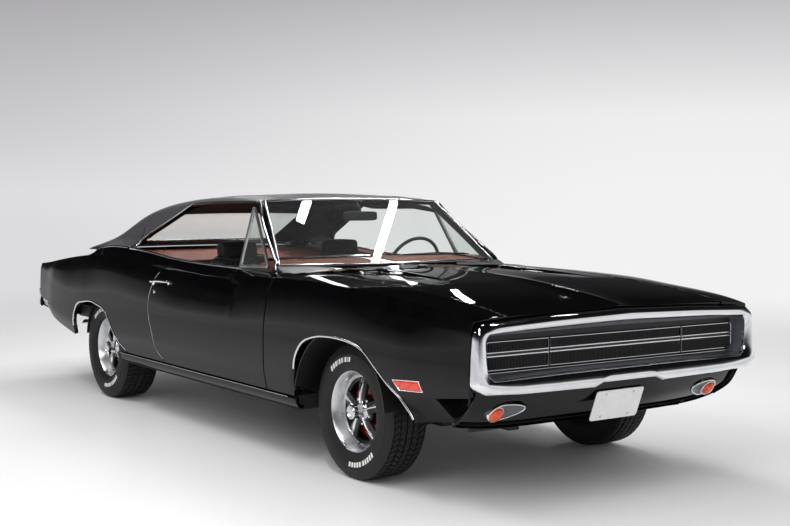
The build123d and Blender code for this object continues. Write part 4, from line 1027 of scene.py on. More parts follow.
def cut(line, out):
    # splits a section line where it crosses this distance from the middle
    k = int(np.argmax(line[:, 0] <= out))
    p, q = line[k - 1], line[k]
    m = p + (q - p) * (out - p[0]) / (q[0] - p[0])
    return np.vstack([line[:k], m]), np.vstack([m, line[k:]])


def glassHalf(x):
    g = greenhouse
    return float(np.interp(x, (g["glassRear"], g["glassFront"]), g["glassOut"][::-1]))


def makeRoofCover():
    b = Build("roof_cover")
    e = np.array(greenhouse["edge"], float)
    edge = spline(e, int(np.linalg.norm(np.diff(e, axis=0), axis=1).sum() / 9.0))
    edge = edge[np.argsort(edge[:, 0])]
    sails, top, foot = [], [], []
    for x, o, z in edge:
        line = roofSection(x, z)
        # the section starts on the edge itself
        shift = np.clip(1 - np.arange(len(line)) / 9.0, 0, 1)
        line[:, 0] += (o - line[0, 0]) * shift
        outer, inner = cut(line, glassHalf(x) + 2)
        p, q = resample(outer, 34), resample(inner, 30)
        col = np.stack([np.full(len(p), x), -p[:, 0], p[:, 1]], 1)
        mid = np.stack([np.full(len(q), x), -q[:, 0], q[:, 1]], 1)
        sails.append(col)
        if x >= greenhouse["glassFront"]:
            top.append(mid)
        if x <= greenhouse["glassRear"]:
            foot.append(mid)
    for k in (1, -1):
        flip = k < 0
        m = np.array((1, k, 1))
        for part in (sails, top, foot):
            b.grid(np.array(part) * m, roofVinyl, flip=flip)
    # headliner, in black vinyl darkened with painted shade
    for k in (1, -1):
        rows = []
        for x in np.linspace(-1010, 332, 50):
            z = float(np.interp(-x, -e[:14, 0], e[:14, 2]))
            p = resample(roofSection(x, min(z, 1330) - 4, 34), 24)
            rows.append(np.stack([np.full(24, x), -k * p[:, 0], p[:, 1]], 1))
        b.grid(rows, headlinerShaded, flip=k > 0)
    # seams of the cover: two welted lines from front to back
    seamOut = 470
    for k in (1, -1):
        rows = []
        for x in np.linspace(338, -990, 120):
            rows.append((x, k * seamOut, cut(roofSection(x, 1100), seamOut)[1][0][1] + 0.5))
        b.tube(rows, 2.2, roofVinyl, count=8)
    obj = b.make(merge=0.05)
    solid = obj.modifiers.new("thickness", "SOLIDIFY")
    solid.thickness, solid.offset = -0.003, 1
    place(obj, "car_body", "vinyl_roof", "roof")


def bead(width, height, lip=1.5):
    # a moulding's cross-section (across, out): a low half-round
    w = width / 2
    return [(-w, -lip), (-w, height * 0.25), (-w * 0.72, height * 0.72), (-w * 0.3, height * 0.97),
            (w * 0.3, height * 0.97), (w * 0.72, height * 0.72), (w, height * 0.25), (w, -lip)]


# the way the windshield faces
windshieldOut = np.array((0.65, 0, 0.76))
windshieldLines = {
    "bottom": lambda u: np.array((748.5 + 58 * (1 - u * u), 753 * u, 987 + 4 * u * u)),
    "top": lambda u: np.array((344.5 + 24 * (1 - u * u), 612 * u, 1336 + 14 * (1 - u * u))),
}


def windshieldPoint(u, v):
    a, c = windshieldLines["bottom"](u), windshieldLines["top"](u)
    return a + (c - a) * v + windshieldOut * 14 * 4 * v * (1 - v) * 0.35


def pane(name, outer, through, node):
    # a sheet of glass: its two faces and the edge all round
    inner = outer - through
    n, m = outer.shape[:2]
    rim = [(0, j) for j in range(m)] + [(i, m - 1) for i in range(1, n)]
    rim += [(n - 1, j) for j in range(m - 2, -1, -1)] + [(i, 0) for i in range(n - 2, 0, -1)]
    b = Build(name)
    b.grid(outer, windowGlass)
    b.grid(inner, windowGlass, flip=True)
    b.grid([[outer[r], inner[r]] for r in rim], windowGlass, closedU=True)
    place(b.make(merge=0.05, recalc=True), "car_body", "glass", node)


def makeGlass():
    us, vs = np.linspace(-1, 1, 41), np.linspace(0, 1, 21)
    outer = np.array([[windshieldPoint(u, v) for v in vs] for u in us])
    pane("windshield_pane", outer, windshieldOut * 5, "windshield")
    rows = []
    for x in np.linspace(greenhouse["glassRear"] - 4, greenhouse["glassFront"] + 4, 30):
        inside = cut(roofSection(x, 1000, 3), glassHalf(x) + 6)[1]
        right = [(x, -o, z) for o, z in resample(inside, 18)]
        rows.append(right + [(x, -y, z) for _, y, z in right[-2::-1]])
    pane("rear_window_pane", np.array(rows, float), np.array((-0.4, 0, 0.9)) * 5, "rear_window")


def makeRearLinings():
    # dark trim inside the roof quarters, reaching in under the edges of the rear glass; its black vinyl is darkened
    # with painted shade
    def lining():
        b = Build("rear_quarter_lining")
        rows = []
        for x in np.linspace(-1010, -1543, 24):
            line = roofSection(x, 1000)
            # each point: distance out, depth under the roof's surface
            loop = [(glassHalf(x) + 14, 14), (508, 15), (500, 20), (508, 26), (glassHalf(x) + 14, 26)]
            rows.append([(x, -o, float(np.interp(o, line[::-1, 0], line[::-1, 1])) - d) for o, d in loop])
        b.grid(rows, headlinerShaded, closedV=True)
        b.closeEnds(rows, headlinerShaded)
        return b
    pair(lining, "rear_quarter_lining", "car_body", "black_paint")


# the drip rail down the windshield post: x, out, z
postLine = spline([(345, 636, 1333), (440.5, 678, 1232), (606.5, 729, 1109), (700, 756, 1042), (752, 770, 1000),
                   (768, 775, 968)], 44)


def makePosts():
    # windshield posts and header, painted outside and trimmed inside
    b = Build("windshield_posts")
    for k in (1, -1):
        rows, inner = [], []
        for i, d in enumerate(postLine):
            v = 1 - i / (len(postLine) - 1)
            w = windshieldPoint(-1, v * 0.995)
            w = np.array((w[0], abs(w[1]), w[2]))
            if i > 38:
                w = w + (d - w) * 0.15 * (i - 38) / 5
            out = np.array((0.35, 0.75, 0.35))
            mid = (w + d) / 2 + out * 9
            back = d + np.array((-22, -14, -6))
            inside = w + np.array((-38, -10, -30))
            m = np.array((1, -k, 1))
            rows.append([w * m, (w * 0.7 + mid * 0.3 + out * 3) * m, mid * m, (mid * 0.4 + d * 0.6 + out * 3) * m,
                         d * m, back * m])
            inner.append([back * m, (back * 0.5 + inside * 0.5 + np.array((-10, -4, -4))) * m, inside * m,
                          (w + np.array((-8, -4, -8))) * m])
        b.grid(rows, blackLacquer, flip=k > 0)
        # the inner trim is black vinyl darkened with painted shade
        b.grid(inner, headlinerShaded, flip=k > 0)
    # header inside, and the strip between the roof cover and the glass
    us = np.linspace(-1, 1, 41)
    top = []
    for u in us:
        t = windshieldPoint(u, 1.0)
        e = np.array((341, u * 633, np.interp(abs(u), (0, 0.8, 1), (1351, 1341, 1333))))
        top.append([t + (-3, 0, 1), (t + e) / 2 + (6, 0, 8), e + (2, 0, 2)])
    b.grid(top, blackLacquer, flip=True)
    low = []
    for u in us:
        t = windshieldPoint(u, 1.0) - np.array((6, 0, 6))
        low.append([t, t + (-16, 0, -20), t + (-62, 0, -16), t + (-75, 0, 4)])
    # the header strip is black vinyl darkened with painted shade
    b.grid(low, headlinerShaded)
    place(b.make(merge=0.05), "car_body", "black_paint", "windshield_frame")


def makeWindshieldMoulding():
    b = Build("windshield_moulding")
    path = [windshieldPoint(-1, v) for v in np.linspace(0, 1, 30)]
    path += [windshieldPoint(u, 1) for u in np.linspace(-1, 1, 40)[1:]]
    path += [windshieldPoint(1, v) for v in np.linspace(1, 0, 30)[1:]]
    path += [windshieldPoint(u, 0) for u in np.linspace(1, -1, 40)[1:-1]]
    b.sweep(np.array([p + windshieldOut for p in path]), bead(15, 6), stainlessTrim, up=windshieldOut, closed=True)
    place(b.make(recalc=True), "car_body", "chrome")


def makeRearMoulding():
    g = greenhouse
    b = Build("rear_window_moulding")
    pts = []
    for x in np.linspace(g["glassRear"], g["glassFront"], 24):
        h = glassHalf(x)
        pts.append((x, -h, cut(roofSection(x, 1000), h)[1][0][1]))

    def inside(x):
        # the roof's section between the moulding and the middle of the car
        return cut(roofSection(x, 1000), glassHalf(x))[1]
    c = inside(g["glassFront"])
    across = [(g["glassFront"], -o, z) for o, z in resample(c, 16)[1:]]
    across += [(x, -y, z) for x, y, z in across[-2::-1]] + [(g["glassFront"], glassHalf(g["glassFront"]), c[0][1])]
    low = [(g["glassRear"], o, z) for o, z in resample(inside(g["glassRear"]), 16)[1:]]
    low += [(x, -y, z) for x, y, z in low[-2::-1]]
    path = pts + across + [(x, -y, z) for x, y, z in pts[-2::-1]] + low
    b.sweep(path, bead(20, 6), stainlessTrim, up=(-0.4, 0, 0.9), closed=True)
    place(b.make(recalc=True), "car_body", "chrome")


def makeDripRails():
    # from the windshield foot, over the side glass, down the quarter
    b = Build("drip_rails")
    e = np.array(greenhouse["edge"][1:15], float)
    full = np.vstack([spline(postLine[::-1], 50), spline(e, 130)])
    for k in (1, -1):
        path = full * np.array((1, -k, 1)) + np.array((0, -k * 2, 0))
        b.sweep(path, bead(13, 11, 4), stainlessTrim, up=(0, -k, 0.3))
    place(b.make(recalc=True), "car_body", "chrome")


def makeVinylEdge():
    # bright edge of the vinyl cover, from the quarter glass back round the foot of the rear window
    b = Build("vinyl_edge_trim")
    e = np.array(greenhouse["edge"][14:], float)
    line = spline(np.vstack([e, [(-1622, 560, 1000), (-1622, 300, 1003), (-1622, 0, 1004.5)]]), 140)
    path = np.vstack([line * np.array((1, -1, 1)), line[-2::-1]])
    b.sweep(path, bead(15, 7, 3), stainlessTrim, up=(-0.25, 0, 1))
    place(b.make(recalc=True), "car_body", "chrome")


def makeSills():
    # bright sill mouldings: one on the door, one on the quarter
    def sill(x0, x1):
        xs = np.linspace(x0, x1, 60)
        o, z = innerEdge(xs)
        b = Build("sill")
        path = np.stack([xs, -(o - 1), z + 1], 1)
        b.sweep(path, bead(15, 6, 8), stainlessTrim, up=(0, -0.25, 1))
        # felt strip that wipes the glass
        b.sweep(path + (0, 13, -2), [(-4, -14), (-4, 2), (0, 4), (4, 2), (4, -14)], rubberSeal, up=(0, 0, 1))
        return b
    pair(lambda: sill(body["doorRear"] + 6, 742), "door_sill", "door_{side}", "chrome")
    pair(lambda: sill(-1046, body["doorRear"] - 8), "quarter_sill", "car_body", "chrome")


makeRoofCover()
makeGlass()
makeRearLinings()
makePosts()
makeWindshieldMoulding()
makeRearMoulding()
makeDripRails()
makeVinylEdge()
makeSills()
print("roof and glass made")


nose = {
    "outer": [(0, 541), (190, 541), (214, 522), (640, 528), (845, 540), (896, 566), (893, 700), (884, 806), (850, 838),
              (470, 856), (60, 866), (0, 868)],
    "inner": [(0, 607), (420, 606), (790, 600), (824, 624), (832, 700), (833, 770), (812, 795), (420, 805), (60, 812),
              (0, 812)],
    # share of the way from the outer to the inner outline, and depth behind the face
    "section": [(0.0, 69), (-0.012, 40), (0.0, 18), (0.07, 6), (0.2, 1.2), (0.4, 0), (0.62, 2.5), (0.82, 9), (0.95, 19),
                (1.0, 30), (1.0, 44), (0.97, 58)],
}


def faceX(y, z):
    # the bumper's face: furthest forward in the middle, its upper corners swept back
    t = np.abs(y) / 896.0
    return body["nose"] - 0.3 - 26 * t ** 3 * np.clip((z - 548) / 288, 0, 1) - 3 * t ** 2


def outline(rows, radius, count):
    half = np.array(rows, float)
    full = np.vstack([half, (half * (-1, 1))[::-1][1:-1]])
    ring = rounded(full, radius, 7)
    s = np.r_[0, np.cumsum(np.linalg.norm(np.diff(np.vstack([ring, ring[:1]]), axis=0), axis=1))]
    at = np.linspace(0, s[-1], count, endpoint=False)
    closed = np.vstack([ring, ring[:1]])
    return np.stack([np.interp(at, s, closed[:, k]) for k in range(2)], 1)


def matched(rowsA, rowsB, radiusA, radiusB, count=240):
    # two outlines whose points face each other
    a, b = outline(rowsA, radiusA, count * 4), outline(rowsB, radiusB, count)
    scale = np.array((1 / 870.0, 1 / 160.0))
    ang = lambda p: np.arctan2((p[:, 1] - 703) * scale[1], p[:, 0] * scale[0])
    order = np.argsort(ang(a))
    sa = a[order]
    aa = ang(a)[order]
    want = ang(b)
    out = np.stack([np.interp(want, np.r_[aa - 2 * math.pi, aa, aa + 2 * math.pi], np.tile(sa[:, k], 3))
                    for k in range(2)], 1)
    return out, b


def makeBumper():
    b = Build("front_bumper_loop")
    o, i = matched(nose["outer"], nose["inner"], 34, 30)
    rows = []
    for f, back in nose["section"]:
        p = o + (i - o) * f
        x = faceX(p[:, 0], p[:, 1]) - back
        rows.append(np.stack([x, p[:, 0], p[:, 1]], 1))
    b.grid(rows, chromePlate, closedV=True)
    b.grid([rows[-1], rows[0]], chassisBlack, closedV=True)
    # brackets back to the frame
    for k in (1, -1):
        b.box(2450, 2576, k * 400, k * 424, 548, 598, chassisBlack)
    place(b.make(merge=0.02, recalc=True), "car_body", "chrome", "front_bumper")
    # argent walls inside the loop
    b = Build("grille_surround")
    rows = []
    for f, x in ((0.985, 2605), (1.012, 2588), (1.03, 2572), (1.12, 2540)):
        p = o + (i - o) * f
        rows.append(np.stack([np.full(len(p), float(x)), p[:, 0], p[:, 1]], 1))
    b.grid(rows, recessGrey, closedV=True)
    # back wall of the recess beyond the grille
    ring = rows[-1]
    g = outline([(0, 616), (780, 616), (806, 640), (806, 752), (784, 770), (0, 770)], 12, 400)
    order = np.argsort(np.arctan2((g[:, 1] - 693) / 80.0, g[:, 0] / 800.0))
    ga = np.arctan2((g[:, 1] - 693) / 80.0, g[:, 0] / 800.0)[order]
    want = np.arctan2((ring[:, 2] - 703) / 110.0, ring[:, 1] / 830.0)
    inner = np.stack([np.full(len(ring), 2538.0)] + [np.interp(want, np.r_[ga - 2 * math.pi, ga, ga + 2 * math.pi],
        np.tile(g[order][:, k], 3)) for k in range(2)], 1)
    b.grid([ring, inner], recessGrey, closedV=True)
    b.grid([inner, inner - (14, 0, 0)], satinBlack, closedV=True)
    place(b.make(), "car_body", "dark_grille")


def slats(name, y0, y1, z0, z1, x, pitch=8.4):
    # a bank of upright slats
    piece = Build(name)
    piece.box(x - 9, x + 3.5, y0 + 1.2, y0 + 4.6, z0, z1, slatPlastic, 0.8)
    return repeated(name, piece, max(1, int((y1 - y0) / pitch)), step=(0, pitch, 0), material=slatPlastic)


def grillePanel(b, y0, y1, roundLow, roundHigh):
    # slats behind a thin bright frame, a double bright bar across the middle and a single one below
    x = 2540.0
    z0, z1 = 633.0, 755.0
    b.box(x - 2, x + 1, y0 + 1, y1 - 1, z0 + 1, z1 - 1, blackPlastic, 0.5)
    for lo, hi in ((z0 + 3, 690), (712, z1 - 3)):
        v, f = slats("slats", y0 + 4, y1 - 4, lo, hi, x + 7)
        b.add(v, f, slatPlastic)
    for z in (692.5, 709.0):
        b.sweep([(x + 11, y, z) for y in np.linspace(y0 + 0.5, y1 - 0.5, 12)], [(-3.2, -2), (-3.2, 1.2), (-1.4, 2.6),
            (1.4, 2.6), (3.2, 1.2), (3.2, -2)], chromePlate, up=(1, 0, 0))
    b.box(x + 1, x + 9, y0 + 1, y1 - 1, 695.5, 706, blackPlastic, 1)
    corners = [(y0 + 2, z0, roundLow), (y1 - 2, z0, roundHigh), (y1 - 2, z1, roundHigh), (y0 + 2, z1, roundLow)]
    pts = []
    for k, (y, z, r) in enumerate(corners):
        if r:
            cy, cz = y + (r if k in (0, 3) else -r), z + (r if k in (0, 1) else -r)
            start = (180, 270, 0, 90)[k]
            pts += [(x + 11, cy + r * math.cos(math.radians(start + t)), cz + r * math.sin(math.radians(start + t)))
                    for t in np.linspace(0, 90, 7)]
        else:
            pts.append((x + 11, y, z))
    b.sweep(pts, [(-2.2, -3), (-2.2, 1), (-1, 2.2), (1, 2.2), (2.2, 1), (2.2, -3)], chromePlate, up=(1, 0, 0),
            closed=True)


def makeGrille():
    b = Build("grille_centre")
    grillePanel(b, -425, 425, 0, 0)
    # lower bright bar under the whole grille, and the shadowed tray behind
    b.sweep([(2553, y, 621) for y in np.linspace(-796, 796, 60)], [(-5, -4), (-5, 1), (-2, 3), (2, 3), (5, 1), (5, -4)],
            chromePlate, up=(1, 0, 0))
    b.box(2523, 2539, -804, 804, 612, 630, blackPlastic, 1)
    b.box(2523, 2539, -804, 804, 758, 792, blackPlastic, 1)
    place(b.make(recalc=True), "car_body", "dark_grille", "grille")

    def door():
        b = Build("headlamp_door_panel")
        grillePanel(b, -797, -432, 18, 0)
        for y0, y1 in ((-797, -790), (-440, -432)):
            b.box(2451, 2542, y0, y1, 680, 704, satinBlack, 2)
            b.revolve([(6.6, 0), (14, 0), (14, y1 - y0), (6.6, y1 - y0)], (2451.5, y0, 692), (0, 1, 0), satinBlack, 28)
        return b
    pair(door, "headlamp_door_panel", "headlamp_door_{side}", "dark_grille", "headlamp_door_{side}")

    b = Build("headlamp_units")
    for k in (1, -1):
        for y in (530, 700):
            axis, o = (1, 0, 0), (2400, k * y, 692)
            b.revolve([(62, -4), (70, 26), (72, 40), (73.5, 50), (71, 54), (68, 54)], o, axis, chromePlate, 48)
            b.revolve([(68, 50), (60, 30), (40, 12), (14, 4), (0.3, 2)], o, axis, reflector, 48)
            b.revolve([(70.5, 51), (67, 56), (50, 62), (25, 66), (0.3, 67)], o, axis, lampGlass, 48)
            b.revolve([(67, 50), (64, 53), (48, 59), (24, 63), (0.3, 64)], o, axis, lampGlass, 48, flip=True)
        b.box(2402, 2417, k * 441, k * 788, 622, 764, satinBlack, 3)
        b.box(2320, 2404, k * 560, k * 680, 662, 698, satinBlack, 3)
        for y0, y1 in ((783, 789), (440, 434)):
            b.box(2413, 2459, k * y0, k * y1, 682, 702, satinBlack, 2)
    place(b.make(), "car_body", "lamp_glass", "headlamps")


# the valance in the middle of the car: depth behind the nose, z
valanceLine = spline([(-36, 549), (-52, 524), (-80, 482), (-118, 436), (-170, 396), (-236, 354)], 26)


def valanceX(dx, t, z):
    # swept back towards its ends; t is the share of the way from the middle to an end
    return body["nose"] + dx - 60 * t ** 4 * (1 - (549 - z) / 260)


def makeValance():
    b = Build("valance_panel")
    rows = []
    for y in np.linspace(-850, 850, 121):
        t = abs(y) / 850.0
        line = []
        for dx, z in valanceLine:
            x = valanceX(dx, t, z)
            zz = z + 34 * t ** 5 * (549 - z) / 195
            # shallow scoop round each turn lamp, open towards the middle
            dy = abs(y) - 665
            e = (dy / (70 if dy > 0 else 125)) ** 2 + ((z - 438 + (dy * 0.16)) / 46.0) ** 2
            x -= 26 * max(0.0, 1 - e) ** 0.7
            line.append((x, y, zz))
        rows.append(line)
    b.pan(np.array(rows), blackLacquer, depth=(20, 20, 12, 16))
    place(b.make(merge=0.05), "car_body", "black_paint", "front_valance")


def makeTurnLamps():
    # round lamps in bright teardrop bezels
    b = Build("turn_lamps")
    n = np.array((0.86, 0, -0.5))
    for k in (1, -1):
        ring = []
        for t in np.linspace(0, 2 * math.pi, 64, endpoint=False):
            dy, dz = math.cos(t), math.sin(t)
            wide = 64 if dy > 0 else 118
            ring.append((dy * wide, dz * 41 * (1 - 0.25 * max(0, -dy)) - min(0, dy) * 12))
        pts = []
        for dy, dz in ring:
            z = 434 + dz
            dx = float(np.interp(-z, -valanceLine[:, 1], valanceLine[:, 0]))
            pts.append((valanceX(dx, (665 + dy) / 850.0, z) + 1, -k * (665 + dy), z))
        b.sweep(pts, bead(7, 4, 2), chromePlate, up=n, closed=True)
        o = np.array((2502.0, -k * 690, 428))
        rim = np.array(pts)
        b.grid([rim, rim * 0.45 + o * 0.55 - n * 12, rim * 0.2 + o * 0.8 - n * 22], recessGrey, closedV=True,
               flip=k > 0)
        b.revolve([(44, -26), (43, -4), (41, 1), (38, 2), (37, -2)], o, n, chromePlate, 40)
        b.revolve([(38, -6), (36, 4), (28, 12), (15, 17), (0.3, 18.5)], o, n, amberLens, 40)
    place(b.make(), "car_body", "lamp_glass")


def makePlate():
    # blank licence plate on its bracket, four screws
    b = Build("licence_plate_blank")
    lean = math.radians(20)
    up = np.array((math.sin(lean), 0, math.cos(lean)))
    out = np.array((math.cos(lean), 0, -math.sin(lean)))
    c = np.array((2553.5, 0, 420.0))

    def plate(w, h, r, lift, count=6):
        ring = rounded([(-w, -h), (w, -h), (w, h), (-w, h)], r, count)
        return np.array([c + np.array((0, 1, 0)) * y + up * z + out * lift for y, z in ring])
    front = [plate(152.5, 76.5, 16, -3), plate(152.5, 76.5, 16, 0), plate(151, 75, 15, 0.9), plate(147, 71, 12, 0.9),
             plate(145.5, 69.5, 11, 0.1)]
    b.grid(front, plateEnamel, closedV=True)
    b.fan(front[-1], plateEnamel)
    b.fan(front[0], galvanised, flip=True)
    for y in (-89, 89):
        for z in (-58, 58):
            b.revolve([(6.5, 0), (6.2, 2.2), (4, 3.4), (0.3, 3.8)], c + np.array((0, y, 0)) + up * z, out,
                      stainlessTrim, 16)
    b.box(2470, 2546, -70, -50, 400, 440, chassisBlack)
    b.box(2470, 2546, 50, 70, 400, 440, chassisBlack)
    place(b.make(recalc=True), "car_body", "plate_white", "licence_plate")


def sideAt(x, z):
    # how far out the body side is here, and the way it faces
    s = sideSection(x)
    k = side["rows"][0] + 1
    o = np.interp(z, s[:k, 1], s[:k, 0])
    lean = (np.interp(z + 10, s[:k, 1], s[:k, 0]) - np.interp(z - 10, s[:k, 1], s[:k, 0])) / 20
    s2 = sideSection(x + 20)
    along = (np.interp(z, s2[:k, 1], s2[:k, 0]) - o) / 20
    n = np.array((-along, -1.0, -lean))
    return o, n / np.linalg.norm(n)


def makeMarkers():
    def marker(corners, lensMaterial):
        b = Build("marker")
        ring = rounded(corners, 5, 4)

        def layer(shrink, lift):
            m = ring.mean(0)
            pts = []
            for x, z in ring:
                q = np.array((x, z)) - m
                q = m + q * (1 - shrink / np.abs(ring - m).max(0))
                o, n = sideAt(q[0], q[1])
                pts.append(np.array((q[0], -o, q[1])) + n * lift)
            return pts
        rows = [layer(0, -2), layer(0, 2.5), layer(1.5, 4.2), layer(6, 4.2), layer(7.5, 2)]
        b.grid(rows, chromePlate, closedV=True)
        lensRows = [layer(7.5, 0), layer(8, 3.2), layer(11, 4.6), layer(15, 5)]
        b.grid(lensRows, lensMaterial, closedV=True)
        b.fan(lensRows[-1], lensMaterial)
        return b
    pair(lambda: marker([(2276, 569), (2096, 557), (2136, 509), (2292, 518)], orangeLens), "front_marker", "car_body",
         "lamp_glass")
    pair(lambda: marker([(-2440, 590), (-2262, 590), (-2250, 548), (-2428, 548)], redLens), "rear_marker", "car_body",
         "red_lens")


def makeFenderFeet():
    # the sheet below the fender's edge, between the wheel opening and the valance
    def foot():
        b = Build("fender_foot")
        line = archLine("front")
        line = line[line[:, 0] > body["frontAxle"] + 200]
        order = np.argsort(line[:, 1])
        rows = []
        for s in np.linspace(0, 1, 12):
            x0 = float(np.interp(378 + 94 * s, line[order, 1], line[order, 0]))
            row = []
            for t in np.linspace(0, 1, 10):
                x = x0 + (2345.0 - x0) * t
                z0, o = smooth(side["low"], x)[0][:2]
                row.append((x, -(o - 4 - 130 * t * (1 - s)), 378 + (z0 + 4 - 378) * s))
            rows.append(row)
        b.pan(np.array(rows), blackUndercoat, depth=(10, 4, 18, 6), flip=True, inner=underseal)
        return b
    pair(foot, "fender_foot", "car_body", "black_paint")


def makeArchTrims():
    def strip(name):
        b = Build(name + "_arch_moulding")
        line = archLine(name)
        foot = 376 if name == "front" else 370
        path, ups = [], []
        for x, z in spline(line[line[:, 1] > foot], 150):
            o, n = sideAt(x, max(z, lowerEdge(x)[0] + 2))
            path.append((x, -(o - 0.5), z))
            ups.append(n)
        b.sweep(path, bead(13, 4.5, 3), stainlessTrim, ups=ups)
        return b
    pair(lambda: strip("front"), "front_arch", "car_body", "chrome")
    pair(lambda: strip("rear"), "rear_arch", "car_body", "chrome")


makeBumper()
makeGrille()
makeValance()
makeTurnLamps()
makePlate()
makeMarkers()
makeFenderFeet()
makeArchTrims()
print("front end made")


def makeVents():
    def vent():
        b = Build("vent_window_frame")
        foot, front, apex = np.array([(392.0, -792, 972), (692.0, -789, 984), (296.0, -648, 1300)])
        tri = rounded([foot, front, apex], 20, 6)
        n = np.cross(front - foot, apex - foot)
        n = n / np.linalg.norm(n)
        n = n if n[1] < 0 else -n
        b.sweep(tri, [(-8, -6), (-8, 3), (-4, 6), (4, 6), (8, 3), (8, -6)], satinAluminium, up=n, closed=True)
        b.add(list(tri + n * 2.2), [list(range(len(tri)))], windowGlass)
        b.add(list(tri - n * 2.2), [list(range(len(tri)))[::-1]], windowGlass)
        # upright division post behind it
        b.sweep([foot + (-9, 0, -12), apex + (-9, 0, 0)], [(-9, -8), (-9, 5), (0, 7), (9, 5), (9, -8)], satinAluminium,
                up=n)
        b.sweep([foot + (-17, 0, -12), apex + (-15, 0, -4)], [(-3, -6), (-3, 6), (3, 6), (3, -6)], rubberSeal, up=n)
        # latch and pivot
        mid = foot * 0.55 + front * 0.45
        b.revolve([(9, 0), (8, 8), (4, 11), (0.3, 12)], mid + (0, 0, 6), -n, chromePlate, 18)
        return b
    pair(vent, "vent_window_frame", "door_{side}", "chrome", "vent_window_{side}")


def makeHandles():
    def handle():
        b = Build("door_handle")
        z = 846
        x0, x1 = -222.0, -452.0
        pts, ups = [], []
        for t in np.linspace(0, 1, 26):
            x = x0 + (x1 - x0) * t
            o, n = sideAt(x, z)
            lift = 4 + 17 * math.sin(math.pi * min(1, max(0, t))) ** 0.45
            pts.append(np.array((x, -o, z - 10 * t + 4 * math.sin(math.pi * t))) + n * lift)
            ups.append(n)
        scale = [0.5 + 0.22 * math.sin(math.pi * t) for t in np.linspace(0, 1, 26)]
        b.sweep(pts, [(-12, -3), (-13, 0), (-9, 3.4), (0, 4.6), (9, 3.4), (13, 0), (12, -3)], chromePlate, ups=ups,
                scale=scale)
        for x, w in ((-232, 20), (-430, 26)):
            o, n = sideAt(x, z - 4)
            b.revolve([(w * 0.8, -2), (w * 0.8, 2), (w * 0.55, 5), (9, 10), (8, 18)],
                      (x, -o, z - (0 if x > -300 else 8)), n, chromePlate, 28)
        o, n = sideAt(-446, z - 9)
        b.revolve([(9, 8), (9, 22), (7, 25), (0.3, 26)], (-430, -o, z - 8), n, chromePlate, 24)
        o, n = sideAt(-397, 783)
        b.revolve([(13, -1), (13, 2), (10, 4.5), (6, 5), (5, 3.6), (0.3, 3.8)], (-397, -o, 783), n, chromePlate, 28)
        b.box(-398, -396, -(o + 5), -(o + 4.2), 779, 787, satinBlack, 0.3)
        # bright guard down the door's rear edge
        edge, ups = [], []
        for z in np.linspace(378, 898, 44):
            x = float(doorRearX(z)[0]) + 5.5
            o, n = sideAt(x, z)
            edge.append((x, -(o + 0.2), z))
            ups.append(n)
        b.sweep(edge, bead(4.5, 1.8, 1), stainlessTrim, ups=ups)
        return b
    pair(handle, "door_handle", "door_{side}", "chrome")


def makeCowl():
    b = Build("cowl_top")
    us = np.linspace(-1, 1, 61)
    rows = []
    for u in us:
        w = windshieldPoint(u, 0) - (4, 0, 3)
        y = u * 776
        zf = float(smooth(hoodRows, 931.5)[0][1] + (985 - 968) * (1 - abs(u) ** 1.7)) - 7
        f = np.array((905.0, y, zf - 15))
        rows.append([w + (f - w) * t + np.array((0, 0, -10 * math.sin(math.pi * t))) for t in np.linspace(0, 1, 14)])
    b.pan(np.array(rows), blackLacquer, depth=(10, 10, 6, 20), flip=True)
    # two banks of air slots
    for k in (1, -1):
        slot = Build("slot")
        slot.sweep([(838, 14 * k, 968), (851, 14 * k, 964.3), (864, 14 * k, 962.2)],
                   [(-3, -4), (-3, 0.6), (3, 0.6), (3, -4)], rubberSeal, up=(0, 0, 1))
        v, f = repeated("cowl_slots", slot, 26, step=(0, 24 * k, -0.2), material=rubberSeal)
        b.add(v, f, rubberSeal)
    place(b.make(merge=0.02), "car_body", "black_paint")


def makeWipers():
    # parked along the foot of the glass; each pivot and blade tip is a share of the glass's half width
    b = Build("wipers")
    n = windshieldOut
    for pivotU, tipU in ((0.02, -0.84), (0.92, 0.06)):
        p = np.array(windshieldPoint(pivotU, 0)) + (34, 0, -8)
        blade = [windshieldPoint(u, 0.085 + 0.03 * (1 - abs(u))) + n * 9
                 for u in np.linspace(tipU, tipU + (0.66 if pivotU < 0.5 else 0.72), 16)]
        b.sweep([q - n * 3 for q in blade], [(-2.2, -5), (-0.6, -7.5), (0.6, -7.5), (2.2, -5), (2.2, 0), (-2.2, 0)],
                rubberSeal, up=n)
        b.sweep([q + n * 1 for q in blade[1:-1]], [(-4, -1), (-3, 1.4), (3, 1.4), (4, -1)], stainlessTrim, up=n)
        mid = blade[8] + n * 5
        b.sweep([p + n * 4, p * 0.6 + mid * 0.4 + n * 9, mid + n * 3], [(-4.5, -2), (-3.5, 2), (3.5, 2), (4.5, -2)],
                stainlessTrim, up=n)
        b.sweep([blade[3] + n * 2, mid + n * 5, blade[12] + n * 2], [(-3, -2), (-2, 1.6), (2, 1.6), (3, -2)],
                stainlessTrim, up=n)
        b.revolve([(15, -10), (14, 4), (10, 9), (0.3, 11)], p, n, stainlessTrim, 24)
    place(b.make(), "car_body", "chrome")


def makeRockers():
    # covers below the doors
    def rocker():
        b = Build("rocker_cover")
        xs = np.linspace(body["rearAxle"] + 404, body["frontAxle"] - 400, 60)
        section = [(-935, 358), (-941, 352), (-944, 344), (-940, 325), (-926, 303), (-900, 290)]
        rows = [[(x, y, z) for y, z in section] for x in xs]
        b.pan(np.array(rows), blackLacquer, depth=(20, 20, 10, 10), flip=True)
        b.sweep([(x, -944.5, 350) for x in xs[::3]], bead(4.5, 2.5), stainlessTrim, up=(0, -1, 0))
        return b
    pair(rocker, "rocker_cover", "car_body", "black_paint")


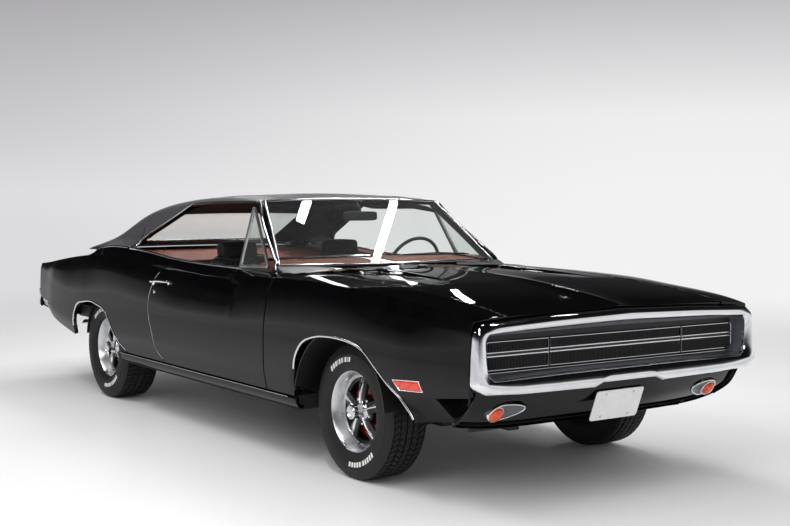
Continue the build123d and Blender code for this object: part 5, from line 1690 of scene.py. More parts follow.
def makeIndicators():
    # lamp rings in the hood's scallops
    b = Build("hood_indicators")
    for k in (1, -1):
        x, y = 1062.0, k * 430
        z = float(hoodZ(x, y))
        ring = [(x + 34 * math.cos(t), y + 16 * math.sin(t), z + 5) for t in np.linspace(0, 2 * math.pi, 40,
            endpoint=False)]
        b.sweep(ring, bead(7, 5, 6), chromePlate, up=(0, 0, 1), closed=True)
        b.add([(px, py, z + 4) for px, py, _ in ring], [list(range(40))], amberLens)
    place(b.make(), "hood", "chrome")


makeVents()
makeHandles()
makeCowl()
makeWipers()
makeRockers()
makeIndicators()
print("trim made")


def makeTailPanel():
    b = Build("tail_panel_face")
    outer = [(0, 848), (640, 846), (820, 838), (864, 800), (872, 700), (868, 600), (840, 520), (700, 470), (0, 462)]
    ring = outline(outer, 30, 300)
    rows = []
    for inset, x in ((1.0, -2530), (1.0, -2548), (0.985, -2554), (0.95, -2556), (0.93, -2550)):
        rows.append([(x, y * (1 - (1 - inset) * 0.35), 655 + (z - 655) * inset) for y, z in ring])
    b.grid(rows, blackLacquer, closedV=True)
    b.fan(rows[-1], satinBlack)
    b.fan(rows[0], satinBlack, flip=True)
    place(b.make(recalc=True), "car_body", "black_paint", "tail_panel")


def makeTailLamps():
    b = Build("tail_lamp_units")
    ring = rounded([(250, 662), (846, 662), (852, 700), (846, 778), (250, 778)], 16, 5)

    def layer(shrink, x, k):
        q = ring - np.sign(ring - ring.mean(0)) * shrink
        return [(x, k * y, z) for y, z in q]
    for k in (1, -1):
        bezel = ((0, -2552), (0, -2574), (3, -2579), (10, -2579), (12, -2572))
        b.grid([layer(shrink, x, k) for shrink, x in bezel], chromePlate, closedV=True, flip=k > 0)
        lensRows = [layer(shrink, x, k) for shrink, x in ((11, -2570), (12, -2576), (20, -2578))]
        b.grid(lensRows, redLens, closedV=True, flip=k > 0)
        b.fan(lensRows[-1], redLens, flip=k > 0)
        # bright dividing lines and a reversing lamp at the inner end
        for y in (398, 548, 698):
            b.box(-2581, -2573, k * (y - 2), k * (y + 2), 674, 766, chromePlate, 1)
        b.box(-2580.5, -2573, k * 266, k * 392, 716, 724, chromePlate, 1)
    place(b.make(recalc=True), "car_body", "red_lens", "tail_lamps")


def makeRearBumper():
    b = Build("rear_bumper_bar")
    rows = []
    path = [(-2548, 884), (-2588, 882), (-2616, 858), (-2630, 800), (-2638, 600), (-2640, 300), (-2640.5, 0)]
    half = spline(path, 60)
    full = np.vstack([half * (1, -1), half[-2::-1]])
    prof = [(0, 646), (10, 652), (18, 646), (20, 630), (12, 600), (19, 570), (20, 545), (14, 528), (2, 522), (0, 528)]
    for i in range(len(full)):
        a, c = full[max(i - 1, 0)], full[min(i + 1, len(full) - 1)]
        t = (c - a) / np.linalg.norm(c - a)
        n = np.array((t[1], -t[0]))
        n = n if n @ np.array((full[i][0] + 2300, full[i][1])) > 0 else -n
        rows.append([(full[i][0] + n[0] * (d - 20), full[i][1] + n[1] * (d - 20), z) for d, z in prof])
    b.grid(rows, chromePlate, closedV=True)
    b.closeEnds(rows, chromePlate)
    for k in (1, -1):
        b.box(-2612, -2540, k * 530, k * 585, 530, 620, chassisBlack, 3)
        # bumper guards with rubber faces
        b.box(-2638, -2600, k * 395, k * 425, 510, 656, chromePlate, 8)
        b.box(-2640.5, -2634, k * 402, k * 418, 520, 650, rubberSeal, 2)
    place(b.make(recalc=True), "car_body", "chrome", "rear_bumper")


def makeRearValance():
    # the sheet below the bumper, and the exhaust tips
    b = Build("rear_valance")
    # x, z in the middle, rise towards the ends
    section = [(-2536, 560, 36), (-2538, 530, 52), (-2530, 490, 78), (-2500, 446, 96)]
    rows = [[(x, y, z + rise * (abs(y) / 868.0) ** 6) for x, z, rise in section] for y in np.linspace(-868, 868, 60)]
    b.pan(np.array(rows), blackLacquer, depth=(16, 16, 8, 12), flip=True, inner=blackUndercoat)
    for k in (1, -1):
        b.revolve([(30, -120), (30, -6), (31.5, -2), (31.5, 0), (29, 0), (28.4, -6), (28.4, -90)],
                  (-2560, k * 520, 372), (-1, 0, -0.1), chromePlate, 36)
    place(b.make(merge=0.02), "car_body", "black_paint")


makeTailPanel()
makeTailLamps()
makeRearBumper()
makeRearValance()
print("tail made")


wheel = {
    # radii of the lip, the well and the foot of the hub; how far the spokes sit behind the face
    "lip": 209.0, "well": 160.0, "hubFoot": 62.0, "dish": 48.0, "face": 98.0, "spokes": 5, "nutCircle": 62.0,
}


# tyre radius, tyre width and track at each end
wheelSizes = {"front": (332.0, 235.0, 1516.0), "rear": (338.0, 255.0, 1504.0)}


def rimBuild():
    # built about the origin, the outer face towards -Y
    b = Build("rim")
    axis, o = (0, -1, 0), (0, 0, 0)
    w = wheel
    face = w["face"]
    # polished lip, then the spun cone of the trim ring
    b.revolve([(198, face - 18), (206, face - 8), (w["lip"], face - 2), (208.5, face + 1), (206, face + 2.5),
               (199, face + 2), (195.5, face - 0.5), (194, face - 4)], o, axis, spunAluminium, 96)
    b.revolve([(194, face - 4), (191, face - 9), (182, face - 32), (172, face - 60),
               (w["well"] + 4, face - w["dish"] - 6), (w["well"] + 2, face - w["dish"] - 10)], o, axis, spunAluminium,
              96)
    # drop centre and the back half of the rim
    b.revolve([(w["well"] + 2, face - w["dish"] - 10), (w["well"], face - w["dish"] - 22), (w["well"] + 1, -20),
               (176, -40), (184, -86), (190, -92), (206, -95), (206, -91)], o, axis, satinBlack, 72)
    b.revolve([(206, -91), (196, -89), (189, -84), (180, -38), (166, -18), (166, 8), (186, 40), (190, 86),
               (198, face - 18)], o, axis, satinBlack, 72)
    # black centre bowl with five openings between the spokes
    ring = face - w["dish"] - 14
    inner, outer = 78.0, w["well"] + 1
    b.revolve([(outer, ring), (outer - 12, ring + 1), (outer - 13.5, ring - 3), (outer - 13.5, ring - 14)], o, axis,
              satinBlack, 96)
    b.revolve([(inner, ring - 16), (inner - 2, ring + 4), (w["hubFoot"], ring + 12), (40, ring + 16), (34, ring + 18)],
              o, axis, satinBlack, 72)
    for s in range(w["spokes"]):
        t0 = math.pi / 2 + s * 2 * math.pi / w["spokes"]
        ca, sa = math.cos(t0), math.sin(t0)

        def at(r, across, out):
            return (r * ca - across * sa, -out, r * sa + across * ca)
        # the black pressing on either side of the spoke, turned back at its edges
        rows = []
        for r in np.linspace(40, outer - 6, 16):
            k = (r - 40) / (outer - 46)
            wide = 21 + 15 * k
            rise = ring + 17 - 10 * k + 5 * math.sin(k * math.pi)
            edge = [(-wide, -20), (-wide, -4), (-wide + 3, -1), (-wide * 0.5, 0)]
            edge += [(wide * 0.5, 0), (wide - 3, -1), (wide, -4), (wide, -20)]
            rows.append([at(r, across, rise + lift) for across, lift in edge])
        b.grid(rows, satinBlack, flip=True)
        # the bright spoke itself: a narrow raised rib, waisted in the middle
        rows = []
        for r in np.linspace(34, outer - 1, 22):
            k = (r - 34) / (outer - 35)
            wide = 5.5 - 5.0 * k + 9.5 * k * k
            rise = ring + 30 - 20 * k + 9 * math.sin(k * math.pi)
            edge = [(-wide - 1.5, -14), (-wide, -3), (-wide * 0.7, -0.5), (0, 1.5)]
            edge += [(wide * 0.7, -0.5), (wide, -3), (wide + 1.5, -14)]
            rows.append([at(r, across, rise + lift) for across, lift in edge])
        b.grid(rows, chromePlate, flip=True)
    # chrome hub: a waisted cone with a plain ringed cap
    b.revolve([(52, ring + 14), (44, ring + 22), (37, ring + 36), (33, ring + 54), (32, ring + 72), (35, ring + 77),
               (35.5, ring + 80), (33, ring + 83), (29, ring + 84), (27.5, ring + 81.5), (24, ring + 81.5),
               (22.5, ring + 83.5), (18, ring + 84), (16.5, ring + 82.5), (8, ring + 83.8), (0.2, ring + 84)], o, axis,
              stainlessTrim, 56)
    # wheel nuts, one between each pair of spokes
    nut = Build("nut")
    r, a = w["nutCircle"], ring + 12
    t0 = math.pi / 2 + math.pi / w["spokes"]
    mid = np.array((r * math.cos(t0), 0, r * math.sin(t0)))
    nut.revolve([(9.5, a - 8), (9.5, a + 1), (8, a + 3), (5.5, a + 5), (0.2, a + 6)], mid, axis, chromePlate, 6)
    verts, faces = repeated("wheel_nuts", nut, w["spokes"], turn=(0, 360.0 / w["spokes"], 0), material=chromePlate)
    b.add(verts, faces, chromePlate)
    # brake drum behind the openings, painted, with its cooling rib
    b.revolve([(10, -30), (138, -30), (141, -33), (141, -42), (145, -44), (145, -52), (141, -54), (141, -84),
               (60, -86)], o, axis, castIron, 72)
    b.revolve([(20, ring - 30), (100, ring - 30), (134, ring - 33), (139, ring - 38), (139, -34)], o, axis, brakeRed,
              72)
    # valve
    b.tube([(0, -(face - w["dish"] - 2), -w["well"] + 10), (0, -(face - w["dish"] + 22), -w["well"] - 2)], 3.6,
           hoseRubber, 10)
    return b


def aboutAxle(a, r, y):
    # the point at this angle and distance from the axle
    return (math.sin(a) * r, y, math.cos(a) * r)


def tyreBuild(radius, width):
    b = Build("tyre")
    axis, o = (0, -1, 0), (0, 0, 0)
    h = width / 2
    wall = [(195, h - 24), (200, h - 14), (210, h - 9), (213, h - 6.5), (216, h - 6.5), (219, h - 4.5), (232, h - 1.6),
            (246, h - 0.6), (262, h - 0.5), (279, h - 2.2), (283, h - 2.4), (285, h - 4.6), (291, h - 6.2),
            (radius - 30, h - 10), (radius - 18, h - 14.5), (radius - 8, h - 20), (radius - 4.2, h - 25)]
    b.revolve(wall, o, axis, tyreRubber, 120)
    # the inner wall stands in a little, clear of the steering
    b.revolve([(r, -a + 8 * min(1.0, max(0.0, (radius - 12 - r) / 20))) for r, a in wall[::-1]], o, axis, tyreRubber,
              120)
    # grooved tread: the base of the grooves, then raised blocks
    deep = radius - 9.5
    b.revolve([(radius - 4.2, h - 25), (deep, h - 27), (deep, -(h - 27)), (radius - 4.2, -(h - 25))], o, axis,
              tyreRubber, 120)
    b.revolve([(195, h - 24), (197, h - 50), (197, -(h - 50)), (195, -(h - 32))], o, axis, tyreRubber, 72, flip=True)
    ribs = 5
    wide = (2 * h - 58) / ribs
    count = 66
    arc = 2 * math.pi / count
    block = Build("block")
    for k in range(ribs):
        y0 = -(h - 29) + k * wide + 3.4
        y1 = y0 + wide - 6.8
        lean = 0.5 * (k % 2 * 2 - 1) * arc * 0.5
        top, base = radius - 0.4 - (2.6 if k in (0, ribs - 1) else 0), deep - 2
        share = 0.8 if k != 2 else 0.93
        rows = []
        for y, s in ((y0, -1), (y1, 1)):
            a0, a1 = -arc * share / 2 + lean * s, arc * share / 2 + lean * s
            crown = [aboutAxle(a, top, y - s * 0.8) for a in (a0 + 0.002, (a0 + a1) / 2, a1 - 0.002)]
            rows.append([aboutAxle(a0, base, y)] + crown + [aboutAxle(a1, base, y)])
        block.grid(rows, tyreRubber, flat=True)
        block.closeEnds(rows, tyreRubber)
    # shoulder bars reach down the sidewall
    for s in (-1, 1):
        a = arc * 0.3
        y0, y1 = s * (h - 27), s * (h - 12.5)
        inner = [aboutAxle(-a, radius - 6, y0), aboutAxle(-a, radius - 2.4, y0), aboutAxle(a, radius - 2.4, y0),
                 aboutAxle(a, radius - 6, y0)]
        outer = [aboutAxle(-a, radius - 25, y1 - s), aboutAxle(-a, radius - 22.5, y1 + s * 0.4),
                 aboutAxle(a, radius - 22.5, y1 + s * 0.4), aboutAxle(a, radius - 25, y1 - s)]
        block.grid([inner, outer], tyreRubber, flat=True, flip=s < 0)
    verts, faces = repeated("tread_blocks", block, count, turn=(0, 360.0 / count, 0), material=tyreRubber)
    b.add(verts, faces, tyreRubber, flat=True)
    barRadius = 254.0

    # plain raised white bars on the outer wall, in two groups
    def bars(middle, widths, gap=8.0):
        at = -(sum(widths) + gap * (len(widths) - 1)) / 2
        for wide in widths:
            c = math.radians(middle) + (at + wide / 2) / barRadius
            at += wide + gap
            rows = []
            for r, lift in ((243, -0.4), (243.6, 1.5), (266.4, 1.2), (267, -0.6)):
                out = np.interp(r, [q[0] for q in wall], [q[1] for q in wall]) + lift
                line = []
                for f, low in ((-0.5, -1.2), (-0.46, 0), (0.46, 0), (0.5, -1.2)):
                    line.append(aboutAxle(c + f * wide / barRadius + (r - 255) * 0.0009, r, -(out + low)))
                rows.append(line)
            b.grid(rows, whiteRubber, flat=True, flip=True)
    bars(-22, [15, 15, 15, 5, 15, 13, 0.1, 15, 5, 13])
    bars(158, [14, 14, 14, 13, 14, 0.1, 14, 15, 14, 14, 15])
    return b


def makeWheels():
    for end, (radius, width, track) in wheelSizes.items():
        tyre, rim = tyreBuild(radius, width), rimBuild()
        for sideName, k in (("right", 1), ("left", -1)):
            for part, slotName, prefix in ((tyre, "tyre", "tyre_"), (rim, "wheel_steel", "rim_")):
                corner = end + "_" + sideName
                copy = Build(prefix + corner + "_detail")
                v = np.array(part.verts) * (1, k, 1) + (body[end + "Axle"], -k * track / 2, radius)
                copy.verts, copy.faces = list(map(tuple, v)), part.faces if k > 0 else [f[::-1] for f in part.faces]
                copy.slots, copy.materials, copy.flats = part.slots, part.materials, part.flats
                place(copy.make(), "wheel_" + corner, slotName, prefix + corner)


makeWheels()
print("wheels made")


def rounder(size, power=0.28, count=(40, 24)):
    # closed rounded block about the origin, of this size
    def p(v, e):
        return math.copysign(abs(v) ** e, v)
    rows = []
    for i in range(count[1] + 1):
        a = -math.pi / 2 + math.pi * i / count[1]
        rows.append([(size[0] / 2 * p(math.cos(a), power) * p(math.cos(t), power),
                      size[1] / 2 * p(math.cos(a), power) * p(math.sin(t), power), size[2] / 2 * p(math.sin(a), power))
                     for t in np.linspace(0, 2 * math.pi, count[0], endpoint=False)])
    return np.array(rows)


def stuffed(name, size, voxel, cap, pressure=4.0):
    # a padded piece about the origin: blown up as cloth from a slightly smaller block; gives its points and faces
    b = Build(name)
    rows = rounder(np.array(size) - 14)
    b.grid(rows, seatVinylShaded, closedV=True)
    obj = b.make(merge=0.5, recalc=True, sharp=0)
    mod = obj.modifiers.new("remesh", "REMESH")
    mod.mode, mod.voxel_size = "VOXEL", voxel * mm
    deps = bpy.context.evaluated_depsgraph_get()
    mesh = bpy.data.meshes.new_from_object(obj.evaluated_get(deps))
    obj.modifiers.clear()
    obj.data = mesh
    n = len(mesh.vertices)
    base = np.zeros(n * 3)
    mesh.vertices.foreach_get("co", base)
    base = base.reshape(-1, 3) / mm
    cloth = obj.modifiers.new("cloth", "CLOTH")
    s = cloth.settings
    s.quality, s.mass = 4, 0.3
    s.use_pressure, s.uniform_pressure_force = True, pressure
    s.effector_weights.gravity = 0.0
    s.tension_stiffness = s.compression_stiffness = 18
    s.shear_stiffness, s.bending_stiffness = 8, 2.0
    cloth.collision_settings.use_collision = False
    scene = bpy.context.scene
    cloth.point_cache.frame_start, cloth.point_cache.frame_end = 1, 20
    for f in range(1, 21):
        scene.frame_set(f)
    deps = bpy.context.evaluated_depsgraph_get()
    data = obj.evaluated_get(deps).to_mesh()
    final = np.zeros(n * 3)
    data.vertices.foreach_get("co", final)
    final = final.reshape(-1, 3) / mm
    scene.frame_set(1)
    move = final - base
    far = np.linalg.norm(move, axis=1, keepdims=True)
    final = base + move * np.minimum(1, cap / np.maximum(far, 1e-6))
    faces = [tuple(p.vertices) for p in mesh.polygons]
    bpy.data.objects.remove(obj)
    print("stuffed", name, n, "points, moved up to %.1f mm" % np.abs(final - base).max())
    return final, faces


def tilt(points, turn, at):
    # leans points back about the Y axis and moves them into place
    a = math.radians(turn)
    m = np.array(((math.cos(a), 0, math.sin(a)), (0, 1, 0), (-math.sin(a), 0, math.cos(a))))
    return np.asarray(points) @ m.T + np.array(at)


def channels(points, size, lines, along, face, depth=7.0, wide=5.0, margin=0.8):
    # sewn channels pressed into one face: lines are places across it
    p = points.copy()
    across = 1 if along == 0 else 0
    normal = 2 if face == "top" else 0
    sign = -1.0 if face == "back" else 1.0
    top = np.clip((sign * p[:, normal] / (size[normal] / 2) - 0.35) / 0.3, 0, 1)
    held = np.clip((margin - np.abs(p[:, along]) / (size[along] / 2)) / 0.06, 0, 1)
    cut = np.zeros(len(p))
    for at in lines:
        d = p[:, across] - at
        cut = np.maximum(cut, np.exp(-(d / wide) ** 2))
    p[:, normal] -= sign * depth * cut * top * held
    return p


seat = {
    "cushion": (500.0, 455.0, 150.0), "back": (120.0, 450.0, 520.0), "head": (95.0, 280.0, 132.0),
    "rearCushion": (490.0, 1120.0, 170.0), "rearBack": (130.0, 1120.0, 400.0), "middle": 385.0,
}


def paddedPiece(name, points, faces, nodes=()):
    obj = Build(name).add(points, faces, seatVinylShaded).make(sharp=0)
    sub = obj.modifiers.new("smooth", "SUBSURF")
    sub.levels = sub.render_levels = 1
    place(obj, "car_body", "seat_vinyl", *nodes)
    return obj


def makeSeats():
    # all seat pieces wear the black seat vinyl darkened with painted shade
    cushion, cf = stuffed("seat_cushion", seat["cushion"], 9, 26)
    back, bf = stuffed("seat_back", seat["back"], 9, 26)
    head, hf = stuffed("head_rest", seat["head"], 7, 20)
    pleats = [-120, -80, -40, 0, 40, 80, 120]
    cushion = channels(cushion, seat["cushion"], pleats, 0, "top", margin=0.74)
    cushion = channels(cushion, seat["cushion"], [-150, 150], 0, "top", 9, 7, margin=0.95)
    backF = channels(back, seat["back"], pleats, 2, "front", margin=0.74)
    backF = channels(backF, seat["back"], [-150, 150], 2, "front", 9, 7, margin=0.93)
    for sideName, k in (("right", -1), ("left", 1)):
        y = k * seat["middle"]
        cushionAt, backAt = (-6, (-62, y, 462)), (-17, (-325, y, 750))
        paddedPiece("front_seat_cushion_" + sideName, tilt(cushion, *cushionAt), cf, ["front_seat_" + sideName])
        paddedPiece("front_seat_back_" + sideName, tilt(backF, *backAt), bf)
        paddedPiece("front_seat_head_rest_" + sideName, tilt(head, -12, (-394, y, 1011)), hf)
        # piping, side cover, runners, head rest posts
        b = Build("front_seat_fittings_" + sideName)
        ring = rounded([(-232, -212), (232, -212), (232, 212), (-232, 212)], 70, 9)
        for z in (48, -44):
            b.tube(tilt([(x, yy, z) for x, yy in ring], *cushionAt), 3.4, seatVinylShaded, 8, closed=True)
        ring = rounded([(-206, -238), (206, -238), (206, 238), (-206, 238)], 74, 9)
        for x in (42, -42):
            b.tube(tilt([(x, yy, z) for yy, z in ring], *backAt), 3.4, seatVinylShaded, 8, closed=True)
        for s in (-1, 1):
            outer = rounded([(x, z) for x, z in ((-380, 420), (-150, 405), (150, 415), (160, 440), (-120, 452),
                (-260, 560), (-330, 560))], 30, 6)
            rows = [[(x, y + s * (226 + t), z) for x, z in outer] for t in (0, 8)]
            b.grid(rows, blackPlastic, closedV=True)
            b.fan(rows[1], blackPlastic)
            b.tube([(-350, y + s * 52, 985), (-368, y + s * 52, 1010), (-398, y + s * 52, 1040)], 5, chromePlate, 12)
            b.box(-260, 150, y + s * 165 - 14, y + s * 165 + 14, 296, 322, bareSteel, 3)
            b.box(-240, 130, y + s * 165 - 9, y + s * 165 + 9, 320, 400, chassisBlack, 3)
        b.box(-250, 140, y - 205, y + 205, 380, 404, chassisBlack, 4)
        place(b.make(), "car_body", "chassis_black")


def makeRearSeat():
    pleats = [k * 46 for k in range(-11, 12) if abs(k) > 1]
    points, faces = stuffed("rear_cushion", seat["rearCushion"], 13, 26)
    points = channels(points, seat["rearCushion"], pleats, 0, "top", 7, 6, margin=0.72)
    paddedPiece("rear_seat_cushion", tilt(points, -5, (-596, 0, 455)), faces, ["rear_seat"])
    points, faces = stuffed("rear_back", seat["rearBack"], 13, 26)
    points = channels(points, seat["rearBack"], pleats, 2, "front", 7, 6, margin=0.72)
    paddedPiece("rear_seat_back", tilt(points, -22, (-842, 0, 722)), faces)
    b = Build("rear_seat_base")
    b.box(-830, -372, -560, -156, 292, 400, chassisBlack, 6)
    b.box(-830, -372, 156, 560, 292, 400, chassisBlack, 6)
    place(b.make(), "car_body", "chassis_black")

def makeQuarterTrims():
    # padded side bolsters between the rear seat and the body
    b = Build("rear_quarter_trims")
    for k in (1, -1):
        rows = []
        for x in np.linspace(-1000, body["doorRear"] - 12, 40):
            o, top = innerEdge(x)
            o, top = o - 16, top - 6
            section = [(2, top), (22, top + 2), (42, top - 12), (52, top - 60), (50, 760), (92, 742), (98, 716),
                       (60, 690), (46, 640), (40, 330)]
            rows.append([(x, k * (o - inward), z) for inward, z in section])
        b.grid(rows, tanVinyl, flip=k > 0)
        b.fan(rows[-1], tanVinyl)
        b.sweep([(x, k * 752, 838) for x in np.linspace(-990, body["doorRear"] - 14, 10)], bead(12, 4), stainlessTrim,
                up=(0, -k, 0))
    place(b.make(), "car_body", "tan_vinyl")


def makeDash():
    b = Build("dashboard_pad")
    prof = [(892, 930), (850, 950), (800, 962), (756, 974), (716, 1000), (670, 1016), (620, 1020), (584, 1008),
            (564, 978), (560, 940), (572, 902), (606, 872), (622, 868)]
    rows = []
    for y in np.linspace(-774, 774, 100):
        t = abs(y) / 774.0
        hood = math.exp(-((y - 385) / 190.0) ** 4)
        line = []
        for k, (x, z) in enumerate(prof):
            line.append((x - 14 * hood * (k / 12.0), y, z + 6 * hood * math.sin(k / 12.0 * math.pi) - 16 * t ** 6))
        rows.append(line)
    b.grid(rows, tanVinyl)
    b.closeEnds(rows, tanVinyl)
    # stitched seam along the pad's front edge, in the russet trim colour darkened with painted shade
    b.tube([(r[8][0] - 1, r[8][1], r[8][2] + 1) for r in rows], 1.6, shadedTan, 6)
    lower = [(622, 868), (634, 850), (640, 790), (652, 740), (690, 700), (760, 668), (880, 645)]
    rows = [[(x - (18 * math.exp(-((y - 385) / 190.0) ** 4) if k < 3 else 0), y, z) for k, (x, z) in enumerate(lower)]
            for y in np.linspace(-774, 774, 70)]
    b.grid(rows, dashCrackle)
    b.closeEnds(rows, dashCrackle)
    place(b.make(), "car_body", "dash_vinyl", "dashboard")

def addDial(b, y, z, r, ticks):
    # bezel, face, marks and needle of one dial of this radius
    n = np.array((-0.98, 0, 0.18))
    o = np.array((612.0, y, z))
    s = np.array((0, 1.0, 0))
    u = np.cross(n, s)

    def hand(degrees):
        # the direction on the dial's face at this angle from upright, and the way across it
        a = math.radians(degrees)
        d = s * math.sin(a) + u * math.cos(a) * (1 if u[2] > 0 else -1)
        return d, np.cross(n, d)
    b.revolve([(r + 6, -6), (r + 5, 3), (r + 1, 5), (r, 2), (r - 1, -4)], o, n, chromePlate, 40)
    b.revolve([(r, -5), (0.3, -5)], o, n, dialFace, 40)
    for k in range(ticks):
        d, w = hand(-130 + 260 * k / (ticks - 1))
        p, q = o + n * -4.4 + d * (r - 12), o + n * -4.4 + d * (r - 3)
        b.add([p - w * 0.9, p + w * 0.9, q + w * 0.9, q - w * 0.9], [(0, 1, 2, 3)], dialMark)
    d, w = hand(-60)
    b.add([o + n * -3 - w * 1.6, o + n * -3 + w * 1.6, o + n * -3 + d * (r - 8)], [(0, 1, 2)], orangeLens)
    b.revolve([(5, -4), (4, -1), (0.3, 0)], o, n, blackPlastic, 16)


def makeInstruments():
    # two large dials, four small ones, a radio, vents and a glovebox
    b = Build("instruments")
    for y, z, r, ticks in ((470, 818, 50, 21), (330, 818, 50, 13), (228, 846, 22, 7), (228, 790, 22, 7),
                           (172, 846, 22, 7), (172, 790, 22, 7)):
        addDial(b, y, z, r, ticks)
    b.box(606, 640, -110, 110, 792, 838, blackPlastic, 4)
    for k in (-92, 92):
        b.revolve([(13, 0), (13, 14), (9, 18), (0.3, 18.5)], (606, k, 815), (-1, 0, 0), chromePlate, 24)
    for k in range(5):
        b.box(601, 607, -48 + k * 22, -30 + k * 22, 797, 806, chromePlate, 1.5)
    b.box(612, 640, -560, -170, 772, 846, dashCrackle, 6)
    b.revolve([(11, 0), (11, 8), (7, 11), (0.3, 11.5)], (612, -365, 838), (-1, 0, 0), chromePlate, 20)
    for y in (-690, 690):
        b.box(606, 636, y - 52, y + 52, 800, 850, blackPlastic, 4)
        for k in range(6):
            b.box(602, 612, y - 46, y + 46, 806 + k * 7, 809 + k * 7, blackPlastic, 0.8)
    # bright lines along the face
    for z in (860, 760):
        b.sweep([(620 if z > 800 else 645, y, z) for y in np.linspace(-760, 760, 30)], bead(7, 3), stainlessTrim,
                up=(-1, 0, 0))
    addPedalsAndConsole(b)
    place(b.make(), "car_body", "dash_vinyl")


def addPedalsAndConsole(b):
    for y, w, z in ((300, 50, 420), (420, 55, 440), (520, 42, 440)):
        b.box(770, 782, y - w / 2, y + w / 2, z - 34, z + 34, hoseRubber, 4)
        b.tube([(782, y, z), (830, y, 560), (850, y, 660)], 7, chassisBlack, 10)
    rows = []
    for x in np.linspace(560, -150, 30):
        w = 105 + 14 * math.exp(-((x - 100) / 180.0) ** 2)
        rows.append([(x, -w - 10, 424), (x, -w, 452), (x, -w + 16, 462), (x, w - 16, 462), (x, w, 452),
                     (x, w + 10, 424)])
    b.grid(rows, blackPlastic)
    b.closeEnds(rows, blackPlastic)
    b.revolve([(52, 0), (46, 10), (30, 34), (16, 52), (11, 60)], (270, 0, 460), (0, 0, 1), rubberSeal, 28)
    b.tube([(270, 0, 500), (262, 6, 590), (240, 14, 690)], 7, chromePlate, 14)
    b.revolve([(8, -8), (19, 2), (24, 16), (22, 30), (13, 39), (0.3, 42)], (239, 14, 688), (-0.2, 0, 1), blackPlastic,
              28)


def makeWheelAndColumn():
    lean = math.radians(20)
    axis = np.array((-math.cos(lean), 0, math.sin(lean)))
    c = np.array((432.5, 385.0, 935.0))
    across = np.array((0, 1.0, 0))
    up = np.cross(across, axis)
    up = up if up[2] > 0 else -up
    b = Build("steering_wheel_rim")

    def at(r, t, lift=0.0):
        return c + (across * math.sin(t) + up * math.cos(t)) * r + axis * lift
    ring = []
    for k in range(108):
        t = 2 * math.pi * k / 108
        ring.append([at(188 + 10.5 * math.cos(q), t,
                        10.5 * math.sin(q) * (1 + (0.07 if (k // 3) % 2 else -0.02) * (math.cos(q) < 0)))
                     for q in np.linspace(0, 2 * math.pi, 18, endpoint=False)])
    b.grid(ring, gripPlastic, closedU=True, closedV=True)
    for t in (math.radians(90), math.radians(-90), math.radians(180)):
        rows = []
        for r in np.linspace(30, 184, 12):
            s = (r - 30) / 154
            w = 26 - 10 * s
            lift = 12 - 12 * s
            d = (across * math.cos(t) - up * math.sin(t))
            m = at(r, t, lift)
            rows.append([m - d * w + axis * -2, m - d * (w - 2) + axis * 1.5, m + d * (w - 2) + axis * 1.5,
                         m + d * w + axis * -2])
        b.grid(rows, stainlessTrim)
        b.grid([[p - axis * 4 for p in r] for r in rows], stainlessTrim, flip=True)
        for r in (70, 98, 126, 152):
            o = at(r, t, 12 - 12 * (r - 30) / 154 + 1.0)
            b.revolve([(7.5, 0), (6.8, 1.2), (6.0, 0.6), (0.3, 0.6)], o, axis, satinBlack, 20)
    b.revolve([(20, -29), (44, -26), (50, 0), (48, 18), (38, 26), (22, 29), (0.3, 30)], c, axis, blackPlastic, 40)
    b.revolve([(30, 27), (29, 30), (26, 31), (24, 29)], c, axis, chromePlate, 40)
    place(b.make(recalc=True), "steering_wheel", "column_plastic", "steering_wheel")
    b = Build("steering_column_shroud")
    b.revolve([(18, -28), (31, -34), (31.5, -120), (31.8, -200), (31.8, -262), (20, -270)], c, axis, blackPlastic, 36)
    o = c - axis * 80
    b.tube([o + across * 30, o + across * 90 + up * 10, o + across * 150 + up * 24 + axis * 16], 5, chromePlate, 12)
    b.tube([o - across * 30, o - across * 80 + up * 14, o - across * 120 + up * 20], 4, chromePlate, 12)
    place(b.make(), "car_body", "column_plastic", "steering_column")


def makeCarpet():
    b = Build("carpet")
    line = rounded([(-786, 305), (-780, 297), (-170, 297), (-158, 300), (-150, 400), (-138, 425), (138, 425),
                    (150, 400), (158, 300), (170, 297), (780, 297), (786, 305)], 14, 4, closed=False)
    rows = []
    for x in np.linspace(-826, 868, 90):
        rise = 180 * max(0.0, (x - 760) / 108.0) ** 1.6
        rows.append([(x, y, z + (rise if z < 350 else rise * 0.3)) for y, z in line])
    b.grid(rows, carpet, flip=True)
    for k in (1, -1):
        b.box(-350, 880, k * 786, k * 800, 352, 364, stainlessTrim, 3)
    place(b.make(), "car_body", "shelf_board")


